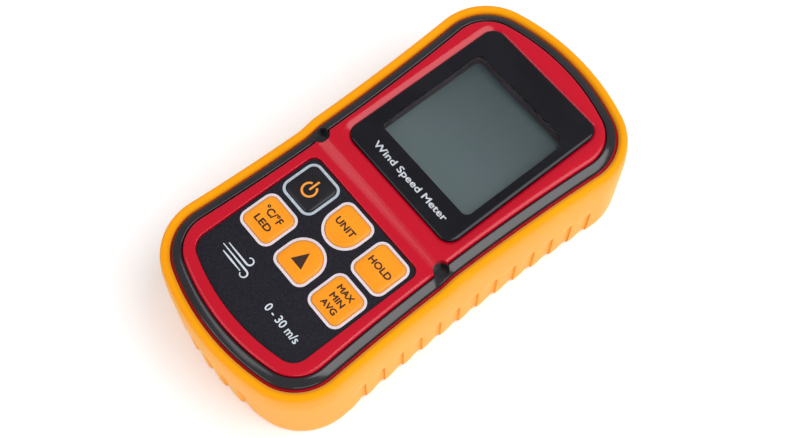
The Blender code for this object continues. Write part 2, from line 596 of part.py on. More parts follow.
def make_display(lens_mat, glass_mat, frame_mat, light_mat, strip_mat):
    edge = 0.35 * MM
    lens = stack([(lens_plan(0), LENS_SEAT + GAP), (lens_plan(0), LENS_TOP - edge),
                  (lens_plan(-edge), LENS_TOP)])
    add_object("display_lens", lens, lens_mat)
    width = VIEW_WIDTH + 2 * GLASS_MARGIN
    length = VIEW_LENGTH + 2 * GLASS_MARGIN
    glass_z = GLASS_TOP - GLASS_THICKNESS
    add_object("lcd_glass", block(-width / 2, width / 2, VIEW_Y - length / 2,
                                  VIEW_Y + length / 2, glass_z, GLASS_TOP), glass_mat)
    light_z = glass_z - GAP - BACKLIGHT_THICKNESS
    inner_w, inner_l = width - 2.6 * MM, length - 7.0 * MM
    light_y = VIEW_Y + 1.8 * MM
    add_object("backlight_panel",
               block(-inner_w / 2, inner_w / 2, light_y - inner_l / 2, light_y + inner_l / 2,
                     light_z, light_z + BACKLIGHT_THICKNESS), light_mat)
    outer_w, outer_l = width + 2 * GAP + 2 * FRAME_WALL, length + 2 * GAP + 2 * FRAME_WALL
    frame = add_object("lcd_frame",
                       block(-outer_w / 2, outer_w / 2, VIEW_Y - outer_l / 2,
                             VIEW_Y + outer_l / 2, BOARD_TOP + GAP, CEILING + STEP - 2 * GAP), frame_mat)
    boolean(frame, "glass_seat",
            block(-width / 2 - GAP, width / 2 + GAP, VIEW_Y - length / 2 - GAP,
                  VIEW_Y + length / 2 + GAP, glass_z - GAP / 2, GLASS_TOP + 3.0 * MM))
    boolean(frame, "light_seat",
            block(-inner_w / 2 - GAP, inner_w / 2 + GAP, light_y - inner_l / 2 - GAP,
                  light_y + inner_l / 2 + GAP, light_z - GAP, glass_z))
    strip_y = VIEW_Y - length / 2 + 0.6 * MM
    strip_w = VIEW_WIDTH - 2.0 * MM
    boolean(frame, "strip_slot",
            block(-strip_w / 2 - GAP, strip_w / 2 + GAP, strip_y - GAP,
                  strip_y + STRIP_WIDTH + GAP, BOARD_TOP - 1.0 * MM, glass_z))
    add_object("lcd_connector_strip",
               block(-strip_w / 2, strip_w / 2, strip_y, strip_y + STRIP_WIDTH,
                     BOARD_TOP + GAP, glass_z - GAP), strip_mat)


def make_label(material):
    label = add_object("keypad_label", prism(label_plan(0), LABEL_Z + 0.05 * MM, KEY_PLANE), material)
    holes = bmesh.new()
    for place in KEYS.values():
        prism(key_plan(place, GAP), LABEL_Z - 1.0 * MM, KEY_PLANE + 1.0 * MM, holes)
    boolean(label, "label_key_holes", holes)


def make_keys(orange, black, switch_mat):
    for name, place in KEYS.items():
        flange = key_plan(place, 0.9 * MM)
        body = key_plan(place, 0.0)
        layers = [(flange, KEY_FOOT), (flange, KEY_FOOT + KEY_FLANGE), (body, KEY_FOOT + KEY_FLANGE),
                  (body, KEY_PLANE + 0.12 * MM), (key_plan(place, -1.15 * MM), KEY_PLANE + 0.15 * MM),
                  (key_plan(place, -1.6 * MM), KEY_PLANE + 0.55 * MM),
                  (key_plan(place, -2.6 * MM), KEY_PLANE + 0.75 * MM)]
        add_object("key_" + name, stack(layers), black if name == "power" else orange,
                   at=(place[0], place[1], KEY_FOOT))
        make_switch("switch_" + name, place, switch_mat)


def make_switch(name, place, material):
    x, y, _ = place
    half = 3.0 * MM
    body = rounded(2 * half, 2 * half, 0.6 * MM, (x, y), steps=3)
    sides = len(body)
    base = BOARD_TOP + 0.02 * MM
    plunger = [(x + 1.7 * MM * cos(t), y + 1.7 * MM * sin(t))
               for t in [1.25 * pi + 2 * pi * (i - 1.5) / sides for i in range(sides)]]
    top = BOARD_TOP + SWITCH_HEIGHT
    layers = [(body, base + GAP), (body, top - 0.9 * MM), (plunger, top - 0.9 * MM), (plunger, top)]
    add_object(name, stack(layers), material)


# ---------------------------------------------------------------- electronics

def make_board(board_mat, chip_mat, metal, black):
    plan = rounded(2 * BOARD_HALF_WIDTH, BOARD_Y1 - BOARD_Y0, BOARD_RADIUS,
                   (0, (BOARD_Y0 + BOARD_Y1) / 2))
    board = add_object("main_board", prism(plan, BOARD_Z, BOARD_TOP), board_mat)
    holes = bmesh.new()
    for place in BOARD_SCREWS:
        drum(place, BOARD_SCREW_RADIUS + GAP, BOARD_Z - 1.0 * MM, BOARD_TOP + 1.0 * MM, 10, holes)
    boolean(board, "board_screw_holes", holes)
    chip_top = BOARD_Z - GAP
    chip_y = BAY_Y1 + BAY_WALL + 22.0 * MM
    add_object("processor_chip",
               prism(rounded(14.0 * MM, 14.0 * MM, 0.6 * MM, (-8.0 * MM, chip_y), steps=2),
                     chip_top - 1.8 * MM, chip_top), chip_mat)
    crystal = rounded(4.4 * MM, 11.0 * MM, 2.1 * MM, (8.0 * MM, chip_y))
    add_object("crystal_can", prism(crystal, chip_top - 3.4 * MM, chip_top), metal)
    buzzer = turned((16.0 * MM, chip_y + 16.0 * MM),
                    [(6.0 * MM, chip_top - 5.4 * MM), (6.0 * MM, chip_top)], 24)
    thing = add_object("buzzer", buzzer, black)
    boolean(thing, "buzzer_port",
            drum((16.0 * MM, chip_y + 16.0 * MM), 1.0 * MM, chip_top - 6.5 * MM,
                 chip_top - 4.0 * MM, 12))
    for i, place in enumerate(BOARD_SCREWS, 1):
        head = BOARD_Z - GAP
        profile = [(BOARD_SCREW_HEAD_RADIUS, head - 1.2 * MM), (BOARD_SCREW_HEAD_RADIUS, head),
                   (BOARD_SCREW_RADIUS, head), (BOARD_SCREW_RADIUS, CEILING - 1.2 * MM)]
        add_object("board_screw_%d" % i, turned(place, profile, 12), metal)


def make_socket(black, metal):
    front = HEAD_Y - CASE_INSET - 0.15 * MM
    back = front - SOCKET_DEPTH
    half_w, half_h = SOCKET_WIDTH / 2, SOCKET_HEIGHT / 2
    body = add_object("probe_socket", block(-half_w, half_w, back, front,
                                            SOCKET_Z - half_h, SOCKET_Z + half_h), black)
    bore = drum((0, 0), SOCKET_BORE, back + 3.0 * MM, front + 2.0 * MM, 24)
    boolean(body, "socket_bore", lay_along_y(bore, SOCKET_Z))
    sleeve = stack([(circle((0, 0), SOCKET_BORE - GAP, 24), back + 3.0 * MM + GAP),
                    (circle((0, 0), SOCKET_BORE - GAP, 24), front - 0.4 * MM)])
    ring = add_object("probe_socket_sleeve", lay_along_y(sleeve, SOCKET_Z), metal)
    inner = drum((0, 0), SOCKET_BORE - GAP - 0.4 * MM, back + 4.0 * MM + GAP, front + 2.0 * MM, 24)
    boolean(ring, "sleeve_bore", lay_along_y(inner, SOCKET_Z))
    pins = bmesh.new()
    for i in range(4):
        turn = pi / 4 + pi / 2 * i
        drum((1.6 * MM * cos(turn), 1.6 * MM * sin(turn)), PIN_RADIUS, back + 3.5 * MM + GAP,
             back + 7.5 * MM, 8, pins)
    boolean(ring, "socket_pins", lay_along_y(pins, SOCKET_Z), "UNION")


# ---------------------------------------------------------------- battery bay

def door_box(grow):
    """Half width and the two ends of the battery door, grown by a clearance."""
    return (BAY_WIDTH / 2 + DOOR_OVERLAP + grow, BAY_Y0 - DOOR_OVERLAP - grow,
            BAY_Y1 + DOOR_OVERLAP + grow)


def make_door(material):
    x, y0, y1 = door_box(0.0)
    plan = rounded(2 * x, y1 - y0, 1.2 * MM, (0, (y0 + y1) / 2))
    door = add_object("battery_door", prism(plan, CASE_BACK, CASE_BACK + DOOR_THICKNESS), material,
                      at=(0, y0, CASE_BACK))
    tabs = bmesh.new()
    foot = CASE_BACK + DOOR_THICKNESS - 0.5 * MM
    tab_z = PLATE_TOP + GAP
    web = BAY_Y0 + 0.4 * MM
    for hand in (1, -1):
        left, right = hand * TAB_X - TAB_WIDTH / 2, hand * TAB_X + TAB_WIDTH / 2
        side = [(web + 1.2 * MM, foot), (web + 1.2 * MM, tab_z + TAB_THICKNESS),
                (y0 - TAB_REACH, tab_z + TAB_THICKNESS), (y0 - TAB_REACH, tab_z),
                (web, tab_z), (web, foot)]
        ends = [[tabs.verts.new((x, y, z)) for y, z in side] for x in (left, right)]
        tabs.faces.new(ends[0])
        tabs.faces.new(ends[1])
        for i in range(len(side)):
            j = (i + 1) % len(side)
            tabs.faces.new((ends[0][i], ends[0][j], ends[1][j], ends[1][i]))
    boolean(door, "door_tabs", tabs, "UNION")
    grips = bmesh.new()
    for i in range(5):
        y = y1 - 6.0 * MM - 1.8 * MM * i
        block(-6.0 * MM, 6.0 * MM, y, y + 0.9 * MM, CASE_BACK - 1.0 * MM, CASE_BACK + 0.5 * MM, grips)
    boolean(door, "door_grip_grooves", grips)


def cell_places():
    """X of each cell, and which way its raised end points."""
    middle = (CELL_COUNT - 1) / 2
    return [((i - middle) * CELL_PITCH, 1 if i % 2 == 0 else -1) for i in range(CELL_COUNT)]


def make_cells(jacket):
    nub = 1.0 * MM
    for i, (x, way) in enumerate(cell_places(), 1):
        body = CELL_LENGTH - nub
        profile = [(CELL_RADIUS - 0.5 * MM, 0.0), (CELL_RADIUS, 0.4 * MM), (CELL_RADIUS, body - 0.4 * MM),
                   (CELL_RADIUS - 0.5 * MM, body), (1.9 * MM, body), (1.9 * MM, CELL_LENGTH)]
        bm = turned((0, 0), profile, 20)
        bmesh.ops.translate(bm, verts=bm.verts, vec=(0, 0, -CELL_LENGTH / 2))
        bmesh.ops.rotate(bm, verts=bm.verts, matrix=Matrix.Rotation(-way * pi / 2, 3, "X"))
        bmesh.ops.translate(bm, verts=bm.verts, vec=(x, cell_centre(way), CELL_Z))
        add_object("battery_cell_%d" % i, bm, jacket)


def cell_centre(way):
    """The spring is at the flat end, so a cell sits towards its raised end."""
    shift = (SPRING_LENGTH - 1.2 * MM) / 2
    return CELL_Y + way * shift


def contact_plate(x_from, x_to, y, bm=None):
    return block(x_from - CONTACT_SIZE / 2, x_to + CONTACT_SIZE / 2, y, y + CONTACT,
                 CELL_Z - CONTACT_SIZE / 2 + 0.4 * MM, CELL_Z + CONTACT_SIZE / 2, bm)


def contact_y(way):
    """Near face of the contact plates at the bay's head (1) or tail (-1) wall."""
    return BAY_Y1 - GAP - CONTACT if way > 0 else BAY_Y0 + GAP


def lead_slots():
    """Slots in the bay's roof for the two contact legs: x, first y and last y."""
    first, last = cell_places()[0], cell_places()[-1]
    slots = []
    for x, way in ((first[0], first[1]), (last[0], -last[1])):
        y = contact_y(way)
        slots.append((x, y - GAP, y + CONTACT + GAP))
    return slots


def make_contacts(metal):
    places = cell_places()
    plates = {
        "contact_positive": (places[0][0], places[0][0], 1, True),
        "contact_negative": (places[2][0], places[2][0], -1, True),
        "contact_bridge_tail": (places[0][0], places[1][0], -1, False),
        "contact_bridge_head": (places[1][0], places[2][0], 1, False),
    }
    for name, (x_from, x_to, way, leg) in plates.items():
        y = contact_y(way)
        thing = add_object(name, contact_plate(x_from, x_to, y), metal)
        if leg:
            boolean(thing, name + "_leg",
                    block(x_from - CONTACT_LEG / 2, x_from + CONTACT_LEG / 2, y, y + CONTACT,
                          CELL_Z, BOARD_Z - GAP), "UNION")
    for i, (x, way) in enumerate(places, 1):
        make_spring("battery_spring_%d" % i, x, way, metal)


def make_spring(name, x, way, material):
    """Conical coil between a cell's flat end and its contact plate."""
    turns, per_turn, wire = 2.5, 10, 0.3 * MM
    plate = contact_y(-way)
    start = plate - GAP - wire if way < 0 else plate + CONTACT + GAP + wire
    flat_end = cell_centre(way) - way * CELL_LENGTH / 2
    length = abs(flat_end - start) - GAP - wire
    curve = bpy.data.curves.new(name, "CURVE")
    curve.dimensions = "3D"
    curve.bevel_depth = wire
    curve.bevel_resolution = 1
    curve.use_fill_caps = True
    spline = curve.splines.new("POLY")
    steps = int(turns * per_turn)
    spline.points.add(steps)
    for i in range(steps + 1):
        share = i / steps
        radius = (2.9 - 1.2 * share) * MM
        turn = 2 * pi * turns * share
        spline.points[i].co = (x + radius * cos(turn), start + way * length * share,
                               CELL_Z + radius * sin(turn), 1.0)
    curve.materials.append(material)
    bpy.context.scene.collection.objects.link(bpy.data.objects.new(name, curve))


def make_case_screws(metal):
    for i, place in enumerate(SCREWS, 1):
        head = SCREW_SEAT - GAP
        profile = [(SCREW_HEAD_RADIUS, head - SCREW_HEAD), (SCREW_HEAD_RADIUS, head),
                   (SCREW_RADIUS, head), (SCREW_RADIUS, head + SCREW_LENGTH)]
        screw = add_object("case_screw_%d" % i, turned(place, profile, 14), metal)
        cross = bmesh.new()
        long, thin = 1.5 * MM, 0.35 * MM
        x, y = place
        star = [(x + dx, y + dy) for dx, dy in
                ((-long, -thin), (-thin, -thin), (-thin, -long), (thin, -long), (thin, -thin),
                 (long, -thin), (long, thin), (thin, thin), (thin, long), (-thin, long),
                 (-thin, thin), (-long, thin))]
        prism(star, head - SCREW_HEAD - 0.5 * MM, head - SCREW_HEAD + 0.8 * MM, cross)
        boolean(screw, "screw_cross_%d" % i, cross)


def main():
    clear_scene()
    rubber = finish_material("soft_rubber_amber", (1.0, 0.40, 0.0), 0.55)
    red = finish_material("gloss_red", (0.56, 0.012, 0.03), 0.25)
    black = finish_material("gloss_black", (0.012, 0.012, 0.016), 0.15)
    lens = finish_material("lens_black", (0.02, 0.02, 0.025), 0.08)
    label = finish_material("label_black", (0.02, 0.022, 0.03), 0.45)
    orange = finish_material("key_orange", (1.0, 0.33, 0.02), 0.4)
    grey_glass = finish_material("lcd_grey", (0.12, 0.14, 0.13), 0.2)
    white = finish_material("white_plastic", (0.8, 0.8, 0.78), 0.5)
    green = finish_material("board_green", (0.02, 0.18, 0.06), 0.4)
    steel = finish_material("steel", (0.6, 0.6, 0.6), 0.3, 1.0)
    dark = finish_material("dark_plastic", (0.03, 0.03, 0.03), 0.5)
    jacket = finish_material("cell_jacket", (0.15, 0.2, 0.35), 0.35)

    make_boot(rubber)
    make_front_shell(red)
    make_trim(black)
    make_display(lens, grey_glass, dark, white, label)
    make_label(label)
    make_keys(orange, black, dark)
    make_board(green, dark, steel, black)
    make_socket(dark, steel)
    make_rear_shell(dark)
    make_door(dark)
    make_cells(jacket)
    make_contacts(steel)
    make_case_screws(steel)


main()
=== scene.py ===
"""Handheld wind and temperature meter in its soft holster boot.

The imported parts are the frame. The pieces here are the finished surfaces round them:
the ribbed boot, the gloss case front, its trim, the display window, the keypad and the
prints on it. Metres, with X across the meter, Y towards the display end and Z up.
"""
from math import atan2, cos, hypot, pi, radians, sin, sqrt

import bmesh
import bpy
from mathutils import Matrix, Vector


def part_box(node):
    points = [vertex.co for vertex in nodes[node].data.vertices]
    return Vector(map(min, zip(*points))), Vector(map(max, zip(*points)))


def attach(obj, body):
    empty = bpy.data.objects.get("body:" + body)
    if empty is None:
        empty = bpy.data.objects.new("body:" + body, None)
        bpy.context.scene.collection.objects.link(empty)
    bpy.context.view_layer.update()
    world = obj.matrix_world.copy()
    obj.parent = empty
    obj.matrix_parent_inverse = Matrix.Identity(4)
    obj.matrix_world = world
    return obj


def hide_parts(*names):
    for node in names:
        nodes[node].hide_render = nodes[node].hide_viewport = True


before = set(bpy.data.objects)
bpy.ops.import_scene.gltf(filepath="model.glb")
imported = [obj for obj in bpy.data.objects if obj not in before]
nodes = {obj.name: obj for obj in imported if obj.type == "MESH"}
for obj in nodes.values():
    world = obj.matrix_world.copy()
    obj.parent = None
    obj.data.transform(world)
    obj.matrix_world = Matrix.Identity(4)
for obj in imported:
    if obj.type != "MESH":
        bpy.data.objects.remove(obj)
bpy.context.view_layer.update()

MM = 0.001

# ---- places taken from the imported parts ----
BOOT_LOW, BOOT_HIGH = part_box("holster_boot")
LENS_LOW, LENS_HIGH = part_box("display_lens")
LABEL_LOW, LABEL_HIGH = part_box("keypad_label")
GLASS_LOW, GLASS_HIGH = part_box("lcd_glass")
SHELL_LOW, SHELL_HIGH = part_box("front_shell")
SOCKET_LOW, SOCKET_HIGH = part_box("probe_socket")
KEY_NAMES = ("power", "unit", "hold", "temperature_light", "up", "max_min")
KEY_BOXES = {name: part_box("key_" + name) for name in KEY_NAMES}
KEYS = {name: ((low[0] + high[0]) / 2, (low[1] + high[1]) / 2, name)
        for name, (low, high) in KEY_BOXES.items()}

HEAD_Y = BOOT_HIGH[1]
TAIL_Y = BOOT_LOW[1]
STEP = 2.0 * MM                     # the display end stands above the keypad end
FACE_Z = SHELL_HIGH[2] - STEP       # red face round the keypad
KEY_PLANE = LABEL_HIGH[2]
INK = 0.03 * MM                     # prints stand this far out of a surface
LENS_TOP = LENS_HIGH[2]
LENS_FACE = LENS_TOP - INK - 0.01 * MM
STEP_Y0 = LABEL_HIGH[1] + 0.7 * MM
STEP_Y1 = STEP_Y0 + 8.0 * MM
WAIST_Y = (STEP_Y0 + STEP_Y1) / 2 + 1.1 * MM

# ---- plan outline, as the part's ----
WAIST_HALF_WIDTH = 39.2 * MM
WAIST_RADIUS = 808.0 * MM
END_RADIUS_HEAD = 84.6 * MM
END_RADIUS_TAIL = 88.1 * MM
CORNER_RADIUS_HEAD = 22.1 * MM
CORNER_RADIUS_TAIL = 21.2 * MM
BOOT_WALL = 3.3 * MM
BOOT_LIP = 4.0 * MM
BOOT_BACK_LIP = 8.6 * MM
BOOT_FLOOR = 2.5 * MM
CASE_INSET = 3.6 * MM
LEDGE_INSET = 4.3 * MM
LEDGE_WIDTH = 0.3 * MM
TRIM_OUTER = 4.9 * MM
TRIM_INNER = 8.2 * MM
FACE_INSET = 8.5 * MM
LABEL_TAIL_RADIUS = 78.0 * MM
LABEL_CORNER = 6.0 * MM
LABEL_TOP_CORNER = 3.0 * MM
LEDGE_UNDER = FACE_Z - 3.95 * MM
CHANNEL_Z = FACE_Z - 2.9 * MM
LEDGE_Z = FACE_Z - 2.7 * MM
WALL_FOOT = SHELL_LOW[2]
CEILING = 30.9 * MM
RIM_Z = FACE_Z - 1.3 * MM           # crest of the boot's rim at the keypad end

# points round half the outline: each arched end, each corner, each hollow side
SMOOTH = (14, 26, 108)
RIBBED = (44, 34, 204)

# ---- boot ----
RIB_TOP = 13.4 * MM
RIB_FADE = 2.0 * MM
RIB_DEPTH = 1.1 * MM
RIB_STEP = 1.0 * MM                 # sharp side of a groove
RIB_RISE = 6.0 * MM                 # slow side of a groove
RIB_TAIL_MARGIN = 6.0 * MM          # the side's grooves keep clear of the corners
RIB_HEAD_MARGIN = 2.0 * MM
SIDE_PITCH = 8.05 * MM
SIDE_COUNT = 13
SIDE_FIRST = 51.2 * MM
END_PITCH = 8.0 * MM
END_COUNT = 5
END_SHIFT = 0.5 * MM
SOCKET_WINDOW = 2.0 * MM            # room round the probe socket in the boot
SOCKET_WINDOW_CORNER = 1.2 * MM
SOCKET_WINDOW_DEPTH = 4.0 * MM      # past the inside of the boot's wall

# ---- case front ----
SHELL_WALL = 1.8 * MM
DECK = 2.1 * MM                     # material under the trim's channel
CEILING_INSET = 2.4 * MM
LABEL_ROOM = 0.2 * MM
LABEL_BED = 0.05 * MM
SEAT_EDGE = 0.3 * MM                # soft edge round the keypad film
SEAT_STEPS = 4
KEY_ROOM = 0.3 * MM
KEY_CUT = 2.0 * MM                  # a key's hole starts this far under the ceiling
VIEW_ROOM = 1.4 * MM
SOCKET_ROOM = 0.3 * MM
SOCKET_REACH = 9.0 * MM
OVERCUT = 1.0 * MM                  # cutters run on past what they cut
FACE_TOP = FACE_Z + STEP            # red face round the window

# a shallow dish falls from the red face to the window, all round it
DISH = ((0.3 * MM, LENS_LOW[2] - 0.3 * MM), (0.3 * MM, FACE_TOP - 0.70 * MM),
        (0.42 * MM, FACE_TOP - 0.60 * MM), (2.35 * MM, FACE_TOP - 0.03 * MM),
        (2.6 * MM, FACE_TOP), (2.6 * MM, LENS_TOP + 2.0 * MM))

# ---- trim ring ----
TRIM_LIFT = 0.3 * MM                # its foot stands this far over the channel
NOTCH_RADIUS = 2.5 * MM
NOTCH_WALL = 0.3 * MM
NOTCH_DEPTH = 2.1 * MM
NOTCH_SIDES = 48
CUP_SLACK = 0.02 * MM
CUP_TOP = FACE_Z - 0.55 * MM

# ---- display window ----
LENS_CORNER = 4.6 * MM
LENS_EDGE = 1.2 * MM                # width and height of the border's soft edge
LENS_EDGE_DROP = 0.55 * MM
LENS_EDGE_STEPS = 8
VIEW_Y = (LENS_LOW[1] + LENS_HIGH[1]) / 2 - 0.5 * MM
VIEW_WIDTH = LENS_HIGH[0] - LENS_LOW[0] - 7.6 * MM
VIEW_LENGTH = LENS_HIGH[1] - LENS_LOW[1] - 22.7 * MM
VIEW_CORNER = 2.0 * MM
PANE_CENTRE = (0.8 * MM, VIEW_Y + 0.2 * MM)
PANE_WIDTH = VIEW_WIDTH - 1.8 * MM
PANE_LENGTH = VIEW_LENGTH + 0.4 * MM
PANE_CORNER = 2.4 * MM
PANE_LAP = 1.6 * MM                 # the pane is this much wider than its opening
PANE_TOP = LENS_FACE - 0.03 * MM
PANE_FOOT = LENS_FACE - 0.40 * MM
LINING_TOP = LENS_FACE - 0.45 * MM
LINING_FOOT = GLASS_HIGH[2] + 0.05 * MM

# ---- keys ----
KEY_RADIUS = 2.4 * MM
KEY_ROUND = 0.2 * MM                # the round end of a key stops this far short of a half circle
KEY_FLANGE = 1.0 * MM
FLANGE_REACH = 0.9 * MM
FILM_HOLE = 0.06 * MM
FILM_EDGE = 0.05 * MM
RING_GAP = 0.10 * MM
RING_WIDTH = 0.95 * MM
# a key's raised middle in millimetres: distance in from the edge, height over the film
PILLOW = ((0.0, 0.02), (0.05, 0.22), (0.18, 0.42), (0.42, 0.58), (0.85, 0.68),
          (1.5, 0.73), (2.1, 0.75))

# ---- prints, in millimetres: name, words, key, width, cap height, place over the key's middle ----
LEGENDS = (
    ("legend_unit", "UNIT", "unit", 8.7, 2.5, 0.2),
    ("legend_hold", "HOLD", "hold", 9.9, 2.5, 0.0),
    ("legend_max", "MAX", "max_min", 7.0, 2.3, 3.4),
    ("legend_min", "MIN", "max_min", 5.9, 2.3, 0.0),
    ("legend_avg", "AVG", "max_min", 6.6, 2.3, -3.4),
    ("legend_degrees", "°C/°F", "temperature_light", 8.2, 3.0, 2.0),
    ("legend_light", "LED", "temperature_light", 7.3, 2.5, -2.3),
)
STROKE = 0.24 * MM                  # weight added to the letters
TITLE_STROKE = 0.16 * MM
RANGE_STROKE = 0.12 * MM
LAYER_DROP = 0.15                   # each shifted copy of a letter is this share of the ink lower
POWER_LINE = 0.75 * MM
POWER_RADIUS = 2.5 * MM
POWER_START = 118.0                 # degrees; the ring is open at the top
POWER_END = 422.0
ARROW_LENGTH = 5.7
ARROW_FOOT = 2.7
ARROW_WIDTH = 5.3 * MM
# the wind mark's lines in millimetres: start, straight reach, radius of the curl at the end
STREAMLINES = ((-19.6, 9.6, 1.25), (-20.6, 12.6, 1.25), (-18.6, 9.0, 0.0))
STREAM_PITCH = 1.5
STREAM_FIRST = 13.6                 # above the tail end of the keypad film

# ---- camera and lamps ----
CAMERA_PLACE = (0.1380, -0.1111, 0.4046)
CAMERA_TURN = radians(50.936)       # from the tail end towards the right side
CAMERA_HEIGHT = radians(65.784)     # above the floor
CAMERA_LENS = 56.66
CAMERA_SENSOR = 36.0
WORLD_STRENGTH = 0.42
FLOOR_HALF = 4.0
# name, direction, distance, width, height, radiance
SOFTBOXES = (
    ("lamp_above", (0.40, 0.32, 0.86), 0.8, 0.64, 0.64, 3.7),
    ("lamp_tail", (-0.32, -0.52, 0.79), 1.6, 0.90, 0.50, 2.3),
    ("lamp_low", (-0.12, -0.92, 0.34), 1.6, 0.90, 0.45, 3.0),
    ("lamp_right", (0.80, -0.42, 0.42), 1.6, 1.00, 0.60, 2.4),
)


# ---------------------------------------------------------------- camera, light, floor

def place_camera():
    level_reach = cos(CAMERA_HEIGHT)
    back = Vector((sin(CAMERA_TURN) * level_reach, -cos(CAMERA_TURN) * level_reach,
                   sin(CAMERA_HEIGHT)))
    right = Vector((cos(CAMERA_TURN), sin(CAMERA_TURN), 0.0))
    up = back.cross(right)
    data = bpy.data.cameras.new("camera")
    data.lens = CAMERA_LENS
    data.sensor_width = CAMERA_SENSOR
    data.sensor_fit = "HORIZONTAL"
    data.clip_start = 0.01
    data.clip_end = 20.0
    camera = bpy.data.objects.new("camera", data)
    facing = Matrix((right, up, back)).transposed().to_4x4()
    camera.matrix_world = Matrix.Translation(CAMERA_PLACE) @ facing
    bpy.context.scene.collection.objects.link(camera)
    bpy.context.scene.camera = camera


def softbox(name, towards, distance, width, height, radiance):
    """A rectangular lamp of a given brightness that looks at the meter from one direction."""
    data = bpy.data.lights.new(name, "AREA")
    data.shape = "RECTANGLE"
    data.size = width
    data.size_y = height
    data.energy = radiance * pi * width * height
    lamp = bpy.data.objects.new(name, data)
    place = Vector(towards).normalized() * distance
    lamp.location = place
    lamp.rotation_euler = place.to_track_quat("Z", "Y").to_euler()
    bpy.context.scene.collection.objects.link(lamp)


def light_studio():
    world = bpy.data.worlds.new("studio")
    world.use_nodes = True
    background = world.node_tree.nodes["Background"]
    background.inputs["Color"].default_value = (1.0, 1.0, 1.0, 1.0)
    background.inputs["Strength"].default_value = WORLD_STRENGTH
    bpy.context.scene.world = world
    for lamp in SOFTBOXES:
        softbox(*lamp)
    view = bpy.context.scene.view_settings
    view.view_transform = "Standard"
    view.look = "None"


def lay_floor():
    bm = bmesh.new()
    bmesh.ops.create_grid(bm, x_segments=8, y_segments=8, size=FLOOR_HALF)
    floor = new_piece("floor", bm, [floor_finish()])


# ---------------------------------------------------------------- mesh helpers

def new_piece(name, bm, finishes, sharp=35.0):
    """Turns a finished bmesh into a piece with smooth shading and crisp folds."""
    bmesh.ops.remove_doubles(bm, verts=bm.verts, dist=1e-6)
    bmesh.ops.recalc_face_normals(bm, faces=bm.faces)
    mesh = bpy.data.meshes.new(name)
    bm.to_mesh(mesh)
    bm.free()
    for finish in finishes:
        mesh.materials.append(finish)
    mesh.shade_smooth()
    mesh.set_sharp_from_angle(angle=radians(sharp))
    piece = bpy.data.objects.new(name, mesh)
    bpy.context.scene.collection.objects.link(piece)
    return piece


def carve(piece, tool_bm, operation="DIFFERENCE", sharp=35.0):
    """Cuts a closed shape out of a piece, or joins it on, for good."""
    bmesh.ops.recalc_face_normals(tool_bm, faces=tool_bm.faces)
    mesh = bpy.data.meshes.new("tool")
    tool_bm.to_mesh(mesh)
    tool_bm.free()
    tool = bpy.data.objects.new("tool", mesh)
    bpy.context.scene.collection.objects.link(tool)
    step = piece.modifiers.new("carve", "BOOLEAN")
    step.operation = operation
    step.solver = "EXACT"
    step.object = tool
    graph = bpy.context.evaluated_depsgraph_get()
    result = bpy.data.meshes.new_from_object(piece.evaluated_get(graph))
    piece.modifiers.clear()
    piece.data = result
    bpy.data.objects.remove(tool)
    bpy.data.meshes.remove(mesh)
    result.name = piece.name
    result.shade_smooth()
    result.set_sharp_from_angle(angle=radians(sharp))


def grow_loop(bm, loop, edges, path):
    """Extrudes an edge loop to a new path of as many points."""
    grown = bmesh.ops.extrude_edge_only(bm, edges=edges)["geom"]
    fresh = {part for part in grown if isinstance(part, bmesh.types.BMVert)}
    upper = []
    for vert in loop:
        upper.append(next(edge.other_vert(vert) for edge in vert.link_edges
                          if edge.other_vert(vert) in fresh))
    for vert, place in zip(upper, path):
        vert.co = place
    rim = [part for part in grown if isinstance(part, bmesh.types.BMEdge)
           and part.verts[0] in fresh and part.verts[1] in fresh]
    return upper, rim


def first_loop(bm, path):
    loop = [bm.verts.new(place) for place in path]
    edges = [bm.edges.new((loop[i - 1], loop[i])) for i in range(len(loop))]
    return loop, edges


def skin(bm, paths):
    """Extrudes through closed paths of equal count; gives back the first and last loops."""
    start, start_edges = first_loop(bm, paths[0])
    loop, edges = start, start_edges
    for path in paths[1:]:
        loop, edges = grow_loop(bm, loop, edges, path)
    return start, start_edges, loop, edges


def stacked(paths, close="both"):
    """A closed skin through paths: flat faces shut its ends, or a ring joins them."""
    bm = bmesh.new()
    start, start_edges, loop, edges = skin(bm, paths)
    if close == "ring":
        bmesh.ops.bridge_loops(bm, edges=start_edges + edges)
    else:
        bmesh.ops.contextual_create(bm, geom=start)
        bmesh.ops.contextual_create(bm, geom=loop)
    return bm


def level(plan, z):
    return [(x, y, z) for x, y in plan]


def plug(plan, low, high):
    """A straight block of a plan, as a plain piece or as a cutter."""
    return stacked([level(plan, low), level(plan, high)])


def rounded(width, length, radius, centre=(0.0, 0.0), far_radius=None, steps=8):
    """A rectangle with round corners; the far (+Y) pair may have its own radius."""
    far_radius = radius if far_radius is None else far_radius
    points = []
    corners = ((-1, -1, radius, pi), (1, -1, radius, 1.5 * pi),
               (1, 1, far_radius, 0.0), (-1, 1, far_radius, 0.5 * pi))
    for sx, sy, r, start in corners:
        cx = centre[0] + sx * (width / 2 - r)
        cy = centre[1] + sy * (length / 2 - r)
        for i in range(steps + 1):
            turn = start + 0.5 * pi * i / steps
            points.append((cx + r * cos(turn), cy + r * sin(turn)))
    return points


def ring_plan(centre, radius, sides):
    turns = [2 * pi * i / sides for i in range(sides)]
    return [(centre[0] + radius * cos(t), centre[1] + radius * sin(t)) for t in turns]


